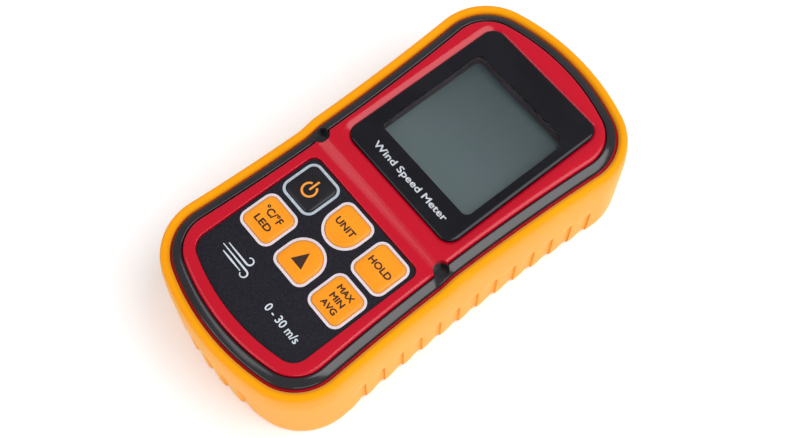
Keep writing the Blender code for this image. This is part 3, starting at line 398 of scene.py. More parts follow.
def flowing(points, steps):
    """A smooth run through section points, each (inset, height, lift)."""
    run = []
    for i in range(len(points) - 1):
        a = Vector(points[max(i - 1, 0)])
        b = Vector(points[i])
        c = Vector(points[i + 1])
        d = Vector(points[min(i + 2, len(points) - 1)])
        for k in range(steps):
            t = k / steps
            run.append(tuple(0.5 * ((2 * b) + (c - a) * t + (2 * a - 5 * b + 4 * c - d) * t * t
                                    + (3 * b - a - 3 * c + d) * t ** 3)))
    run.append(tuple(points[-1]))
    return run


# ---------------------------------------------------------------- plan outline

def ramp(y):
    """0 at the keypad end and 1 at the display end, with a soft change at the waist."""
    t = min(max((y - STEP_Y0) / (STEP_Y1 - STEP_Y0), 0.0), 1.0)
    return t * t * (3.0 - 2.0 * t)


def corner_centre(end_centre_y, end_radius, corner_radius, towards):
    side_x0 = WAIST_HALF_WIDTH + WAIST_RADIUS
    dy = WAIST_Y - end_centre_y
    apart = hypot(side_x0, dy)
    from_end = end_radius - corner_radius
    from_side = WAIST_RADIUS + corner_radius
    along = (from_end ** 2 - from_side ** 2 + apart ** 2) / (2 * apart)
    across = sqrt(from_end ** 2 - along ** 2) * towards
    ux = side_x0 / apart
    uy = dy / apart
    return (ux * along - uy * across, end_centre_y + uy * along + ux * across)


HEAD_CENTRE_Y = HEAD_Y - END_RADIUS_HEAD
TAIL_CENTRE_Y = TAIL_Y + END_RADIUS_TAIL
HEAD_CORNER = corner_centre(HEAD_CENTRE_Y, END_RADIUS_HEAD, CORNER_RADIUS_HEAD, 1)
TAIL_CORNER = corner_centre(TAIL_CENTRE_Y, END_RADIUS_TAIL, CORNER_RADIUS_TAIL, -1)


def arc(centre, radius, start, end, steps):
    """Points after the start of an arc, up to and with its end."""
    turns = [start + (end - start) * i / steps for i in range(1, steps + 1)]
    return [(centre[0] + radius * cos(t), centre[1] + radius * sin(t)) for t in turns]


def side_x(y, inset):
    radius = WAIST_RADIUS + inset
    return WAIST_HALF_WIDTH + WAIST_RADIUS - sqrt(radius ** 2 - (y - WAIST_Y) ** 2)


# the trim's half-round notches stand on its inner edge, at the waist
NOTCHES = ((side_x(WAIST_Y, TRIM_INNER), WAIST_Y), (-side_x(WAIST_Y, TRIM_INNER), WAIST_Y))


def side_end(corner, corner_radius, inset):
    dx = WAIST_HALF_WIDTH + WAIST_RADIUS - corner[0]
    dy = WAIST_Y - corner[1]
    return corner[1] + dy * (corner_radius - inset) / hypot(dx, dy)


def right_half(inset, detail):
    """Right half of the outline at an inset, from the tail's middle to the head's."""
    ends, corners, sides = detail
    side_x0 = WAIST_HALF_WIDTH + WAIST_RADIUS
    tail_turn = atan2(TAIL_CORNER[1] - TAIL_CENTRE_Y, TAIL_CORNER[0])
    head_turn = atan2(HEAD_CORNER[1] - HEAD_CENTRE_Y, HEAD_CORNER[0])
    tail_side = atan2(WAIST_Y - TAIL_CORNER[1], side_x0 - TAIL_CORNER[0])
    head_side = atan2(WAIST_Y - HEAD_CORNER[1], side_x0 - HEAD_CORNER[0])
    points = [(0.0, TAIL_Y + inset)]
    points += arc((0, TAIL_CENTRE_Y), END_RADIUS_TAIL - inset, -pi / 2, tail_turn, ends)
    points += arc(TAIL_CORNER, CORNER_RADIUS_TAIL - inset, tail_turn, tail_side, corners)
    low = side_end(TAIL_CORNER, CORNER_RADIUS_TAIL, inset)
    high = side_end(HEAD_CORNER, CORNER_RADIUS_HEAD, inset)
    for i in range(1, sides + 1):
        y = low + (high - low) * i / sides
        points.append((side_x(y, inset), y))
    points += arc(HEAD_CORNER, CORNER_RADIUS_HEAD - inset, head_side, head_turn, corners)
    points += arc((0, HEAD_CENTRE_Y), END_RADIUS_HEAD - inset, head_turn, pi / 2, ends)
    points[-1] = (0.0, HEAD_Y - inset)
    return points


def outline(inset, detail):
    half = right_half(inset, detail)
    return half + [(-x, y) for x, y in reversed(half[1:-1])]


def course(section, detail):
    """The paths of a section of (inset, height, lift) round the outline."""
    return [[(x, y, z + lift * STEP * ramp(y)) for x, y in outline(inset, detail)]
            for inset, z, lift in section]


def lid(bm, loop):
    """Closes a symmetric loop with strips that run straight across."""
    half = len(loop) // 2
    right = loop[1:half]
    left = loop[:half:-1]
    edges = []
    for chain in (right, left):
        for a, b in zip(chain, chain[1:]):
            edges.append(bm.edges.get((a, b)))
    bmesh.ops.bridge_loops(bm, edges=edges)
    bmesh.ops.contextual_create(bm, geom=[loop[-1], loop[0], loop[1]])
    bmesh.ops.contextual_create(bm, geom=[loop[half - 1], loop[half], loop[half + 1]])


# ---------------------------------------------------------------- finishes

def new_finish(name):
    finish = bpy.data.materials.new(name)
    finish.use_nodes = True
    tree = finish.node_tree
    shader = tree.nodes["Principled BSDF"]
    where = tree.nodes.new("ShaderNodeTexCoord")
    return finish, tree, shader, where


def noise(tree, where, scale, detail=2.0, rough=0.5):
    node = tree.nodes.new("ShaderNodeTexNoise")
    node.inputs["Scale"].default_value = scale
    node.inputs["Detail"].default_value = detail
    node.inputs["Roughness"].default_value = rough
    tree.links.new(where.outputs["Object"], node.inputs["Vector"])
    return node


def tint(tree, source, low, high, start=0.35, end=0.65):
    """Turns a pattern into a run between two colours."""
    node = tree.nodes.new("ShaderNodeValToRGB")
    node.color_ramp.elements[0].position = start
    node.color_ramp.elements[1].position = end
    node.color_ramp.elements[0].color = (*low, 1.0)
    node.color_ramp.elements[1].color = (*high, 1.0)
    tree.links.new(source, node.inputs["Fac"])
    return node.outputs["Color"]


def span(tree, source, low, high):
    node = tree.nodes.new("ShaderNodeMapRange")
    node.inputs["To Min"].default_value = low
    node.inputs["To Max"].default_value = high
    tree.links.new(source, node.inputs["Value"])
    return node.outputs["Result"]


def emboss(tree, shader, source, strength, depth):
    node = tree.nodes.new("ShaderNodeBump")
    node.inputs["Strength"].default_value = strength
    node.inputs["Distance"].default_value = depth
    tree.links.new(source, node.inputs["Height"])
    tree.links.new(node.outputs["Normal"], shader.inputs["Normal"])


def moulded(name, low, high, rough, grain, grain_depth=0.00002, cloud=60.0, strength=0.3,
            specular=0.5, metallic=0.0):
    """Moulded plastic or rubber: slow colour drift, uneven gloss and a fine grain."""
    finish, tree, shader, where = new_finish(name)
    drift = noise(tree, where, cloud, 3.0)
    tree.links.new(tint(tree, drift.outputs["Fac"], low, high), shader.inputs["Base Color"])
    pores = noise(tree, where, grain, 2.0, 0.6)
    tree.links.new(span(tree, pores.outputs["Fac"], rough[0], rough[1]),
                   shader.inputs["Roughness"])
    emboss(tree, shader, pores.outputs["Fac"], strength, grain_depth)
    shader.inputs["Specular IOR Level"].default_value = specular
    shader.inputs["Metallic"].default_value = metallic
    return finish


def floor_finish():
    """Pale floor, lifted a little so that shadows stay light."""
    finish = moulded("studio_floor", (0.91, 0.92, 0.94), (0.93, 0.94, 0.96), (0.8, 0.9), 40.0,
                     0.0001, 2.0, 0.05, 0.1)
    shader = finish.node_tree.nodes["Principled BSDF"]
    shader.inputs["Emission Color"].default_value = (0.96, 0.98, 1.0, 1.0)
    shader.inputs["Emission Strength"].default_value = 0.14
    return finish


def speckled_film():
    """Dark keypad film with a fine pale speckle under a satin face."""
    finish, tree, shader, where = new_finish("keypad_film")
    speckle = noise(tree, where, 2600.0, 3.0, 0.7)
    tree.links.new(tint(tree, speckle.outputs["Fac"], (0.008, 0.008, 0.012),
                        (0.020, 0.019, 0.027), 0.42, 0.62), shader.inputs["Base Color"])
    shader.inputs["Roughness"].default_value = 0.42
    shader.inputs["Specular IOR Level"].default_value = 0.14
    emboss(tree, shader, speckle.outputs["Fac"], 0.25, 0.00002)
    return finish


def display_finish():
    """Unlit liquid crystal: grey-green, with painted shade that darkens it towards the display end.
    """
    finish, tree, shader, where = new_finish("liquid_crystal_painted_shade")
    along = tree.nodes.new("ShaderNodeSeparateXYZ")
    tree.links.new(where.outputs["Object"], along.inputs["Vector"])
    # painted shade: the crystal runs from paler at the keypad end of the glass to darker at its
    # display end
    fade = tree.nodes.new("ShaderNodeMapRange")
    fade.inputs["From Min"].default_value = GLASS_LOW[1]
    fade.inputs["From Max"].default_value = GLASS_HIGH[1]
    tree.links.new(along.outputs["Y"], fade.inputs["Value"])
    tree.links.new(tint(tree, fade.outputs["Result"], (0.118, 0.150, 0.152),
                        (0.060, 0.078, 0.084), 0.1, 0.95), shader.inputs["Base Color"])
    fine = noise(tree, where, 900.0, 2.0)
    tree.links.new(span(tree, fine.outputs["Fac"], 0.25, 0.38), shader.inputs["Roughness"])
    emboss(tree, shader, fine.outputs["Fac"], 0.1, 0.00001)
    shader.inputs["Specular IOR Level"].default_value = 0.3
    return finish


def clear_finish():
    """Clear window: lets the display through with a faint gloss."""
    finish, tree, shader, where = new_finish("clear_window")
    shader.inputs["Base Color"].default_value = (0.93, 0.95, 0.96, 1.0)
    shader.inputs["Transmission Weight"].default_value = 1.0
    shader.inputs["IOR"].default_value = 1.02
    shader.inputs["Specular IOR Level"].default_value = 0.5
    haze = noise(tree, where, 1200.0, 2.0)
    tree.links.new(span(tree, haze.outputs["Fac"], 0.01, 0.05), shader.inputs["Roughness"])
    return finish


def printed(name, low, high, rough=0.5):
    """Screen-printed ink with a slight unevenness."""
    return moulded(name, low, high, (rough - 0.05, rough + 0.08), 2200.0, 0.000005, 900.0,
                   0.1, 0.3)


def boot_rubber():
    """Soft amber rubber with a warm sheen at a low angle."""
    finish = moulded("soft_boot_amber", (0.89, 0.315, 0.001), (0.92, 0.340, 0.002), (0.46, 0.60),
                     1400.0, 0.00003, 30.0, 0.25, 0.03)
    shader = finish.node_tree.nodes["Principled BSDF"]
    shader.inputs["Sheen Weight"].default_value = 0.42
    shader.inputs["Sheen Roughness"].default_value = 0.45
    shader.inputs["Sheen Tint"].default_value = (1.0, 0.92, 0.58, 1.0)
    return finish


def case_red():
    return moulded("gloss_red", (0.490, 0.0010, 0.015), (0.51, 0.0020, 0.018), (0.13, 0.19),
                   700.0, 0.000006, 25.0, 0.2, 0.34)


def trim_black():
    return moulded("trim_gloss_black", (0.010, 0.009, 0.012), (0.015, 0.014, 0.018),
                   (0.12, 0.20), 900.0, 0.000008, 60.0, 0.2, 0.5)


def border_black():
    return moulded("window_black", (0.005, 0.005, 0.008), (0.008, 0.008, 0.012), (0.06, 0.10),
                   500.0, 0.000001, 60.0, 0.02, 0.25)


def lining_grey():
    return moulded("display_well_grey", (0.050, 0.038, 0.042), (0.070, 0.052, 0.056),
                   (0.60, 0.70), 900.0, 0.000003, 60.0, 0.1, 0.4)


def key_orange():
    return moulded("key_orange", (0.87, 0.285, 0.010), (0.90, 0.305, 0.013), (0.22, 0.32),
                   1800.0, 0.00001, 120.0, 0.2, 0.25)


def key_black():
    return moulded("key_black", (0.008, 0.007, 0.010), (0.013, 0.012, 0.016), (0.26, 0.36),
                   1800.0, 0.00001, 120.0, 0.2, 0.3)


# ---------------------------------------------------------------- soft boot

def groove(distance):
    """Depth of a groove at a distance past its sharp side, from 0 to 1."""
    if distance < 0.0 or distance > RIB_STEP + RIB_RISE:
        return 0.0
    if distance < RIB_STEP:
        t = distance / RIB_STEP
        return t * t * (3.0 - 2.0 * t)
    t = 1.0 - (distance - RIB_STEP) / RIB_RISE
    return t * t


def rib_inset(x, y, z):
    """How far the boot's outer wall is pressed in at a point."""
    fade = min(max((RIB_TOP + RIB_FADE - z) / RIB_FADE, 0.0), 1.0)
    if fade == 0.0:
        return 0.0
    depth = 0.0
    if TAIL_CORNER[1] + RIB_TAIL_MARGIN < y < HEAD_CORNER[1] + RIB_HEAD_MARGIN:
        for i in range(SIDE_COUNT):
            depth = max(depth, groove(SIDE_FIRST - SIDE_PITCH * i - y))
    elif y < TAIL_CORNER[1] or y > HEAD_CORNER[1]:
        for i in range(END_COUNT):
            depth = max(depth, groove(x - END_PITCH * (i - END_COUNT // 2) + END_SHIFT))
    return RIB_DEPTH * depth * fade


def boot_paths():
    """The boot's wall as (inset, height, lift): foot, outside, rim, inside and back lip."""
    outer = flowing([(1.7 * MM, 0.0, 0), (0.75 * MM, 0.35 * MM, 0), (0.28 * MM, 1.4 * MM, 0),
                     (0.18 * MM, 8.0 * MM, 0), (0.14 * MM, 15.0 * MM, 0),
                     (0.13 * MM, RIM_Z - 10.0 * MM, 0.2), (0.22 * MM, RIM_Z - 7.0 * MM, 0.8),
                     (0.45 * MM, RIM_Z - 4.2 * MM, 1), (0.75 * MM, RIM_Z - 2.0 * MM, 1),
                     (1.15 * MM, RIM_Z - 0.80 * MM, 1), (1.75 * MM, RIM_Z - 0.22 * MM, 1),
                     (2.5 * MM, RIM_Z - 0.03 * MM, 1),
                     (3.25 * MM, RIM_Z - 0.35 * MM, 1), (BOOT_LIP, RIM_Z - 1.2 * MM, 1)], 4)
    inner = [(BOOT_LIP, LEDGE_UNDER + 0.3 * MM, 1), (BOOT_WALL, LEDGE_UNDER + 0.3 * MM, 1),
             (BOOT_WALL, BOOT_FLOOR, 0), (BOOT_BACK_LIP, BOOT_FLOOR, 0),
             (BOOT_BACK_LIP, 0.5 * MM, 0), (BOOT_BACK_LIP - 0.5 * MM, 0.0, 0)]
    paths = course([(max(inset, 0.0), z, lift) for inset, z, lift in outer + inner], RIBBED)
    for path in paths[:len(outer)]:
        for i in range(len(path)):
            x, y, z = path[i]
            pressed = rib_inset(x, y, z)
            if pressed > 0.0:
                before = Vector(path[i - 1])
                after = Vector(path[(i + 1) % len(path)])
                inward = Vector((before.y - after.y, after.x - before.x, 0.0)).normalized()
                path[i] = (x + inward.x * pressed, y + inward.y * pressed, z)
    return paths


def make_boot(rubber):
    boot = new_piece("boot", stacked(boot_paths(), "ring"), [rubber], 50.0)
    half = (SOCKET_HIGH[0] - SOCKET_LOW[0]) / 2 + SOCKET_WINDOW
    low = SOCKET_LOW[2] - SOCKET_WINDOW
    high = SOCKET_HIGH[2] + SOCKET_WINDOW
    window = rounded(2 * half, high - low, SOCKET_WINDOW_CORNER)
    paths = []
    for y in (HEAD_Y - BOOT_WALL - SOCKET_WINDOW_DEPTH, HEAD_Y + SOCKET_WINDOW):
        paths.append([(x, y, (low + high) / 2 + z) for x, z in window])
    carve(boot, stacked(paths), sharp=50.0)
    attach(boot, "case")
    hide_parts("holster_boot")


# ---------------------------------------------------------------- red case front

def lens_plan(grow, steps=10):
    width = LENS_HIGH[0] - LENS_LOW[0]
    length = LENS_HIGH[1] - LENS_LOW[1]
    centre = (0.0, (LENS_HIGH[1] + LENS_LOW[1]) / 2)
    return rounded(width + 2 * grow, length + 2 * grow, LENS_CORNER + grow, centre, steps=steps)


def label_plan(grow):
    """Keypad film: straight sides, an arched tail, and cut straight across at the waist."""
    x = LABEL_HIGH[0] + grow
    top = LABEL_HIGH[1] + grow
    reach = LABEL_TAIL_RADIUS + grow
    corner = LABEL_CORNER + grow
    centre_y = LABEL_LOW[1] + LABEL_TAIL_RADIUS
    corner_x = x - corner
    corner_y = centre_y - sqrt((reach - corner) ** 2 - corner_x ** 2)
    turn = atan2(corner_y - centre_y, corner_x)
    radius = LABEL_TOP_CORNER + grow
    half = [(0.0, centre_y - reach)]
    half += arc((0, centre_y), reach, -pi / 2, turn, 16)
    half += arc((corner_x, corner_y), corner, turn, 0.0, 14)
    half += [(x, top - radius)]
    half += arc((x - radius, top - radius), radius, 0.0, pi / 2, 10)
    return half + [(-x, y) for x, y in reversed(half[1:])]


def key_plan(place, grow, steps=8):
    """Plan of a key: a rounded square, or flat on one end and round on the other."""
    x, y, kind = place
    low, high = KEY_BOXES[kind]
    width = high[0] - low[0] - 2 * FLANGE_REACH + 2 * grow
    length = high[1] - low[1] - 2 * FLANGE_REACH + 2 * grow
    corner = KEY_RADIUS + grow
    full = width / 2 - KEY_ROUND
    if kind == "unit":
        return rounded(width, length, full, (x, y), corner, steps)
    if kind == "up":
        return rounded(width, length, corner, (x, y), full, steps)
    return rounded(width, length, corner, (x, y), corner, steps)


def well(plan_at, z0, z1, soften):
    """A cutter whose mouth widens at the top, so that it leaves a soft edge."""
    paths = [level(plan_at(0.0), z0)]
    for i in range(SEAT_STEPS + 1):
        turn = 0.5 * pi * i / SEAT_STEPS
        paths.append(level(plan_at(soften * (1.0 - cos(turn))), z1 - soften + soften * sin(turn)))
    paths.append(level(plan_at(soften), z1 + 3.0 * OVERCUT))
    return stacked(paths)


def make_front(red):
    edge = flowing([(FACE_INSET, FACE_Z - 1.0 * MM, 1),
                    (FACE_INSET + 0.10 * MM, FACE_Z - 0.62 * MM, 1),
                    (FACE_INSET + 0.42 * MM, FACE_Z - 0.25 * MM, 1),
                    (FACE_INSET + 0.9 * MM, FACE_Z - 0.06 * MM, 1),
                    (FACE_INSET + 1.5 * MM, FACE_Z, 1)], 4)
    ledge_in = LEDGE_INSET + LEDGE_WIDTH
    bevel = 0.12 * MM
    section = list(reversed(edge))
    section += [(FACE_INSET, CHANNEL_Z, 1), (ledge_in, CHANNEL_Z, 1),
                (ledge_in, LEDGE_Z - bevel, 1), (ledge_in - bevel, LEDGE_Z, 1),
                (LEDGE_INSET + bevel, LEDGE_Z, 1), (LEDGE_INSET, LEDGE_Z - bevel, 1),
                (LEDGE_INSET, LEDGE_UNDER, 1), (CASE_INSET, LEDGE_UNDER, 1),
                (CASE_INSET, WALL_FOOT, 0), (CASE_INSET + SHELL_WALL, WALL_FOOT, 0),
                (CASE_INSET + SHELL_WALL, CHANNEL_Z - DECK, 1),
                (FACE_INSET + 2.0 * MM, CHANNEL_Z - DECK, 1),
                (FACE_INSET + CEILING_INSET, CEILING, 1)]
    bm = bmesh.new()
    start, _, loop, _ = skin(bm, course(section, SMOOTH))
    lid(bm, start)
    lid(bm, loop)
    front = new_piece("case_front", bm, [red], 30.0)
    carve(front, well(lambda grow: label_plan(LABEL_ROOM + grow), LABEL_LOW[2] - LABEL_BED,
                      FACE_Z, SEAT_EDGE), sharp=30.0)
    carve(front, stacked([level(lens_plan(grow), z) for grow, z in DISH]), sharp=12.0)
    for place in KEYS.values():
        carve(front, plug(key_plan(place, KEY_ROOM), CEILING - KEY_CUT, KEY_PLANE), sharp=30.0)
    view = rounded(VIEW_WIDTH + VIEW_ROOM, VIEW_LENGTH + VIEW_ROOM, VIEW_CORNER, (0.0, VIEW_Y))
    carve(front, plug(view, CEILING - OVERCUT, LENS_TOP), sharp=30.0)
    for centre in NOTCHES:
        cup = ring_plan(centre, NOTCH_RADIUS + NOTCH_WALL, NOTCH_SIDES)
        carve(front, plug(cup, CHANNEL_Z, FACE_TOP), sharp=30.0)
    half = (SOCKET_HIGH[0] - SOCKET_LOW[0]) / 2 + SOCKET_ROOM
    back = HEAD_Y - SOCKET_REACH
    slot = [(-half, back), (half, back), (half, HEAD_Y), (-half, HEAD_Y)]
    carve(front, plug(slot, SOCKET_LOW[2] - SOCKET_ROOM, SOCKET_HIGH[2] + SOCKET_ROOM), sharp=30.0)
    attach(front, "case")
    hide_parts("front_shell")


# ---------------------------------------------------------------- trim ring

def make_trim(black):
    foot = CHANNEL_Z + TRIM_LIFT
    crown = flowing([(TRIM_OUTER, FACE_Z - 2.15 * MM, 1),
                     (TRIM_OUTER + 0.12 * MM, FACE_Z - 1.85 * MM, 1),
                     (TRIM_OUTER + 0.45 * MM, FACE_Z - 1.52 * MM, 1),
                     (TRIM_OUTER + 1.5 * MM, FACE_Z - 0.95 * MM, 1),
                     (TRIM_INNER - 0.75 * MM, FACE_Z - 0.50 * MM, 1),
                     (TRIM_INNER - 0.25 * MM, FACE_Z - 0.46 * MM, 1),
                     (TRIM_INNER, FACE_Z - 0.72 * MM, 1)], 4)
    section = [(TRIM_OUTER, foot, 1)] + crown + [(TRIM_INNER, foot, 1)]
    trim = new_piece("trim_ring", stacked(course(section, SMOOTH), "ring"), [black], 40.0)
    for centre in NOTCHES:
        cup = ring_plan(centre, NOTCH_RADIUS + NOTCH_WALL - CUP_SLACK, NOTCH_SIDES)
        carve(trim, plug(cup, foot, CUP_TOP), "UNION", 40.0)
        bore = ring_plan(centre, NOTCH_RADIUS, NOTCH_SIDES)
        carve(trim, plug(bore, FACE_Z - NOTCH_DEPTH, FACE_Z + 4.0 * OVERCUT), sharp=40.0)
    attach(trim, "case")
    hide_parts("bezel_trim")


# ---------------------------------------------------------------- display window

def make_window(border, clear, liner):
    """Black-bordered window: a printed border with a clear pane let into it."""
    paths = [level(lens_plan(0.0), LENS_LOW[2])]
    for i in range(LENS_EDGE_STEPS + 1):
        turn = 0.5 * pi * i / LENS_EDGE_STEPS
        height = LENS_FACE - LENS_EDGE_DROP + LENS_EDGE_DROP * sin(turn)
        paths.append(level(lens_plan(-LENS_EDGE * (1.0 - cos(turn))), height))
    frame_piece = new_piece("window_border", stacked(paths), [border], 30.0)
    view = rounded(PANE_WIDTH, PANE_LENGTH, PANE_CORNER, PANE_CENTRE)
    carve(frame_piece, plug(view, LENS_LOW[2] - OVERCUT, LENS_TOP + OVERCUT), sharp=30.0)
    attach(frame_piece, "case")
    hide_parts("display_lens")
    # the pane runs on under the border, so that none of its edges shows
    plan = rounded(PANE_WIDTH + PANE_LAP, PANE_LENGTH + PANE_LAP, PANE_CORNER + PANE_LAP / 2,
                   PANE_CENTRE)
    pane = new_piece("window_pane", plug(plan, PANE_FOOT, PANE_TOP), [clear], 30.0)
    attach(pane, "case")
    walls = []
    for shrink in (0.1 * MM, 0.4 * MM):
        walls.append(rounded(PANE_WIDTH - shrink, PANE_LENGTH - shrink, PANE_CORNER - shrink / 2,
                             PANE_CENTRE))
    outer, inner = walls
    sleeve = stacked([level(outer, LINING_FOOT), level(outer, LINING_TOP),
                      level(inner, LINING_TOP), level(inner, LINING_FOOT)], "ring")
    lining = new_piece("display_well", sleeve, [liner], 30.0)
    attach(lining, "case")


# ---------------------------------------------------------------- keypad

def make_label(film):
    sheet = stacked([level(label_plan(0.0), LABEL_LOW[2]),
                     level(label_plan(0.0), KEY_PLANE - FILM_EDGE),
                     level(label_plan(-FILM_EDGE), KEY_PLANE)])
    label = new_piece("keypad_film", sheet, [film], 30.0)
    for place in KEYS.values():
        hole = key_plan(place, FILM_HOLE)
        carve(label, plug(hole, LABEL_LOW[2] - OVERCUT, KEY_PLANE + OVERCUT), sharp=30.0)
    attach(label, "case")
    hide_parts("keypad_label")


def pillow_height(distance):
    """Height of a key's raised middle above the keypad, by distance in from its edge."""
    d = distance / MM
    for (d0, h0), (d1, h1) in zip(PILLOW, PILLOW[1:]):
        if d <= d1:
            return KEY_PLANE + (h0 + (h1 - h0) * max(d - d0, 0.0) / (d1 - d0)) * MM
    return KEY_PLANE + PILLOW[-1][1] * MM


def make_key(name, colour, ring):
    place = KEYS[name]
    foot = KEY_BOXES[name][0][2]
    paths = [level(key_plan(place, FLANGE_REACH), foot),
             level(key_plan(place, FLANGE_REACH), foot + KEY_FLANGE),
             level(key_plan(place, 0.0), foot + KEY_FLANGE)]
    for d, h in PILLOW:
        paths.append(level(key_plan(place, -d * MM), KEY_PLANE + h * MM))
    key = new_piece("button_" + name, stacked(paths), [colour], 40.0)
    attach(key, "key_" + name)
    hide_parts("key_" + name)
    near = key_plan(place, RING_GAP)
    far = key_plan(place, RING_GAP + RING_WIDTH)
    band = stacked([level(near, KEY_PLANE - INK), level(far, KEY_PLANE - INK),
                    level(far, KEY_PLANE + INK), level(near, KEY_PLANE + INK)], "ring")
    border = new_piece("key_border_" + name, band, [ring], 30.0)
    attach(border, "case")


# ---------------------------------------------------------------- prints

def lettering(name, words, width, cap, centre, surface, ink, body, weight=STROKE):
    """Words printed on a surface, of a given width and cap height.

    Four copies are shifted by half the added weight, each a little lower than the last, so
    that the strokes get wider and no two faces lie in one plane.
    """
    data = bpy.data.curves.new(name, "FONT")
    data.body = words
    data.align_x = "CENTER"
    data.size = 1.0
    data.extrude = 0.5
    data.resolution_u = 6
    text = bpy.data.objects.new(name, data)
    bpy.context.scene.collection.objects.link(text)
    graph = bpy.context.evaluated_depsgraph_get()
    mesh = bpy.data.meshes.new_from_object(text.evaluated_get(graph))
    bpy.data.objects.remove(text)
    xs = [v.co.x for v in mesh.vertices]
    ys = [v.co.y for v in mesh.vertices]
    wide = (min(xs) + max(xs)) / 2
    tall = (min(ys) + max(ys)) / 2
    scale_x = (width - weight) / (max(xs) - min(xs))
    scale_y = (cap - weight) / (max(ys) - min(ys))
    bm = bmesh.new()
    for layer, (dx, dy) in enumerate(((1, 0), (-1, 0), (0, 1), (0, -1))):
        first = len(bm.verts)
        bm.from_mesh(mesh)
        bm.verts.ensure_lookup_table()
        for vert in bm.verts[first:]:
            x = centre[0] + (vert.co.x - wide) * scale_x + dx * weight / 2
            y = centre[1] + (vert.co.y - tall) * scale_y + dy * weight / 2
            lift = INK * (1.0 - LAYER_DROP * layer) if vert.co.z > 0.0 else -INK
            vert.co = (x, y, surface(x, y) + lift)
    bpy.data.meshes.remove(mesh)
    piece = new_piece(name, bm, [ink], 30.0)
    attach(piece, body)


def printed_piece(name, bm, surface, ink, body):
    """Gives a flat mark its ink thickness and lays it on a surface."""
    grown = bmesh.ops.extrude_face_region(bm, geom=list(bm.faces))["geom"]
    for part in grown:
        if isinstance(part, bmesh.types.BMVert):
            part.co.z = 1.0
    for vert in bm.verts:
        lift = INK if vert.co.z > 0.5 else -INK
        vert.co.z = surface(vert.co.x, vert.co.y) + lift
    piece = new_piece(name, bm, [ink], 30.0)
    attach(piece, body)


def brush_line(bm, points, thickness):
    """Lays a flat line through points, with a width for each of them."""
    left = []
    right = []
    for i, point in enumerate(points):
        before = points[max(i - 1, 0)]
        after = points[min(i + 1, len(points) - 1)]
        along = Vector((after[0] - before[0], after[1] - before[1])).normalized()
        half = thickness(i / (len(points) - 1)) / 2
        left.append(bm.verts.new((point[0] - along.y * half, point[1] + along.x * half, 0.0)))
        right.append(bm.verts.new((point[0] + along.y * half, point[1] - along.x * half, 0.0)))
    edges = [bm.edges.new(pair) for pair in zip(left, left[1:])]
    edges += [bm.edges.new(pair) for pair in zip(right, right[1:])]
    bmesh.ops.bridge_loops(bm, edges=edges)


def on_key(name):
    """Height of a key's face under a point of its print."""
    x0, y0, _ = KEYS[name]
    half = (KEY_BOXES[name][1][0] - KEY_BOXES[name][0][0]) / 2 - FLANGE_REACH

    def surface(x, y):
        return pillow_height(half - max(abs(x - x0), abs(y - y0)))
    return surface


def flat_at(z):
    return lambda x, y: z


def print_legends(dark_ink):
    for name, words, key, width, cap, rise in LEGENDS:
        x, y, _ = KEYS[key]
        lettering(name, words, width * MM, cap * MM, (x, y + rise * MM), on_key(key), dark_ink,
                  "key_" + key)


def print_arrow(dark_ink):
    """A triangle on the upper key: one line that narrows to a point."""
    x, y, _ = KEYS["up"]
    arrow = bmesh.new()
    brush_line(arrow, [(x, y + (ARROW_LENGTH * i / 8 - ARROW_FOOT) * MM) for i in range(9)],
               lambda share: max(ARROW_WIDTH * (1.0 - share), 0.02 * MM))
    printed_piece("legend_up", arrow, on_key("up"), dark_ink, "key_up")


def print_power(amber_ink):
    """An open ring with a stroke through its gap."""
    x, y, _ = KEYS["power"]
    symbol = bmesh.new()
    centre_y = y - 0.7 * MM
    turns = [radians(POWER_START + (POWER_END - POWER_START) * i / 40) for i in range(41)]
    brush_line(symbol, [(x + POWER_RADIUS * cos(t), centre_y + POWER_RADIUS * sin(t))
                        for t in turns], lambda share: POWER_LINE)
    brush_line(symbol, [(x, centre_y + 4.2 * MM * i / 6) for i in range(7)],
               lambda share: POWER_LINE)
    printed_piece("legend_power", symbol, on_key("power"), amber_ink, "key_power")


def print_case(silver_ink, white_ink):
    lettering("title", "Wind Speed Meter", 36.0 * MM, 3.3 * MM, (1.0 * MM, 4.0 * MM),
              flat_at(LENS_FACE), silver_ink, "case", TITLE_STROKE)
    lettering("range", "0 - 30 m/s", 15.8 * MM, 2.9 * MM, (13.0 * MM, LABEL_LOW[1] + 10.4 * MM),
              flat_at(KEY_PLANE), white_ink, "case", RANGE_STROKE)


def stream_thickness(share):
    """A streamline swells along its run and thins towards its end."""
    return (0.30 + 0.32 * sin(pi * min(share * 1.2, 1.0) * 0.9)) * MM


def print_breeze(white_ink):
    """A plain wind mark: three streamlines, two of them curled at the end."""
    mark = bmesh.new()
    for row, (start, reach, curl) in enumerate(STREAMLINES):
        y = LABEL_LOW[1] + (STREAM_FIRST - STREAM_PITCH * row) * MM
        points = [((start + reach * i / 16) * MM, y) for i in range(17)]
        way = 1 if row == 0 else -1
        if curl > 0.0:
            centre = (points[-1][0], y + way * curl * MM)
            for i in range(1, 19):
                turn = way * (-pi / 2 + 1.35 * pi * i / 18)
                points.append((centre[0] + curl * MM * cos(turn),
                               centre[1] + curl * MM * sin(turn)))
        brush_line(mark, points, stream_thickness)
    printed_piece("wind_mark", mark, flat_at(KEY_PLANE), white_ink, "case")


# ---------------------------------------------------------------- carried-over parts

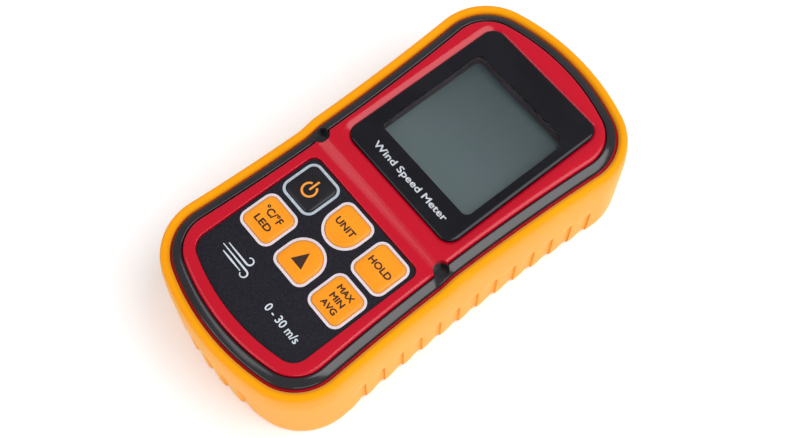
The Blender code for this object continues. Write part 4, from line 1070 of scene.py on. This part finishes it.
def finish_parts():
    """Finishes for the parts that keep their own shapes."""
    case_black = moulded("case_black_plastic", (0.020, 0.020, 0.022), (0.028, 0.028, 0.030),
                         (0.42, 0.58), 1500.0, 0.00004)
    dark = moulded("dark_plastic", (0.018, 0.018, 0.020), (0.028, 0.028, 0.030), (0.35, 0.5),
                   1200.0)
    steel = moulded("plated_steel", (0.55, 0.55, 0.54), (0.68, 0.68, 0.66), (0.22, 0.38), 900.0,
                    0.00001, 300.0, 0.15, 0.5, 1.0)
    board = moulded("solder_mask_green", (0.010, 0.10, 0.035), (0.020, 0.17, 0.06), (0.3, 0.45),
                    500.0, 0.00003, 220.0)
    white = moulded("diffuser_white", (0.72, 0.73, 0.70), (0.80, 0.80, 0.77), (0.4, 0.5), 900.0)
    jacket = moulded("cell_sleeve_blue", (0.03, 0.07, 0.20), (0.05, 0.11, 0.27), (0.25, 0.38),
                     700.0, 0.00001, 90.0)
    rubber = moulded("connector_rubber", (0.05, 0.05, 0.052), (0.08, 0.08, 0.082), (0.6, 0.75),
                     1800.0)
    groups = (
        (case_black, ("rear_shell", "battery_door", "probe_socket")),
        (dark, ("lcd_frame", "processor_chip", "buzzer")),
        (steel, ("crystal_can", "probe_socket_sleeve")),
        (board, ("main_board",)),
        (white, ("backlight_panel",)),
        (rubber, ("lcd_connector_strip",)),
        (display_finish(), ("lcd_glass",)),
    )
    for finish, names in groups:
        for name in names:
            refinish(name, finish)
    prefixes = ((dark, "switch_"), (jacket, "battery_cell_"), (steel, "battery_spring_"),
                (steel, "contact_"), (steel, "case_screw_"), (steel, "board_screw_"))
    for finish, prefix in prefixes:
        for name in nodes:
            if name.startswith(prefix):
                refinish(name, finish)


def refinish(name, finish):
    for place in nodes[name].material_slots:
        place.material = finish


# ---------------------------------------------------------------- assembly

place_camera()
light_studio()
lay_floor()

pale_ring = printed("key_ring_pale", (0.66, 0.58, 0.62), (0.72, 0.64, 0.68))
cool_ring = printed("key_ring_cool", (0.38, 0.45, 0.51), (0.45, 0.52, 0.58))
dark_ink = printed("ink_brown_black", (0.030, 0.012, 0.006), (0.050, 0.020, 0.010))
amber_ink = printed("ink_amber", (0.85, 0.30, 0.03), (0.92, 0.34, 0.04))
silver_ink = printed("ink_silver", (0.46, 0.49, 0.54), (0.58, 0.61, 0.66))
white_ink = printed("ink_white", (0.54, 0.60, 0.66), (0.64, 0.70, 0.76))

make_boot(boot_rubber())
make_front(case_red())
make_trim(trim_black())
make_window(border_black(), clear_finish(), lining_grey())
make_label(speckled_film())
amber_keys = key_orange()
power_key = key_black()
for name in KEY_NAMES:
    if name == "power":
        make_key(name, power_key, cool_ring)
    else:
        make_key(name, amber_keys, pale_ring)
print_legends(dark_ink)
print_arrow(dark_ink)
print_power(amber_ink)
print_case(silver_ink, white_ink)
print_breeze(white_ink)
finish_parts()
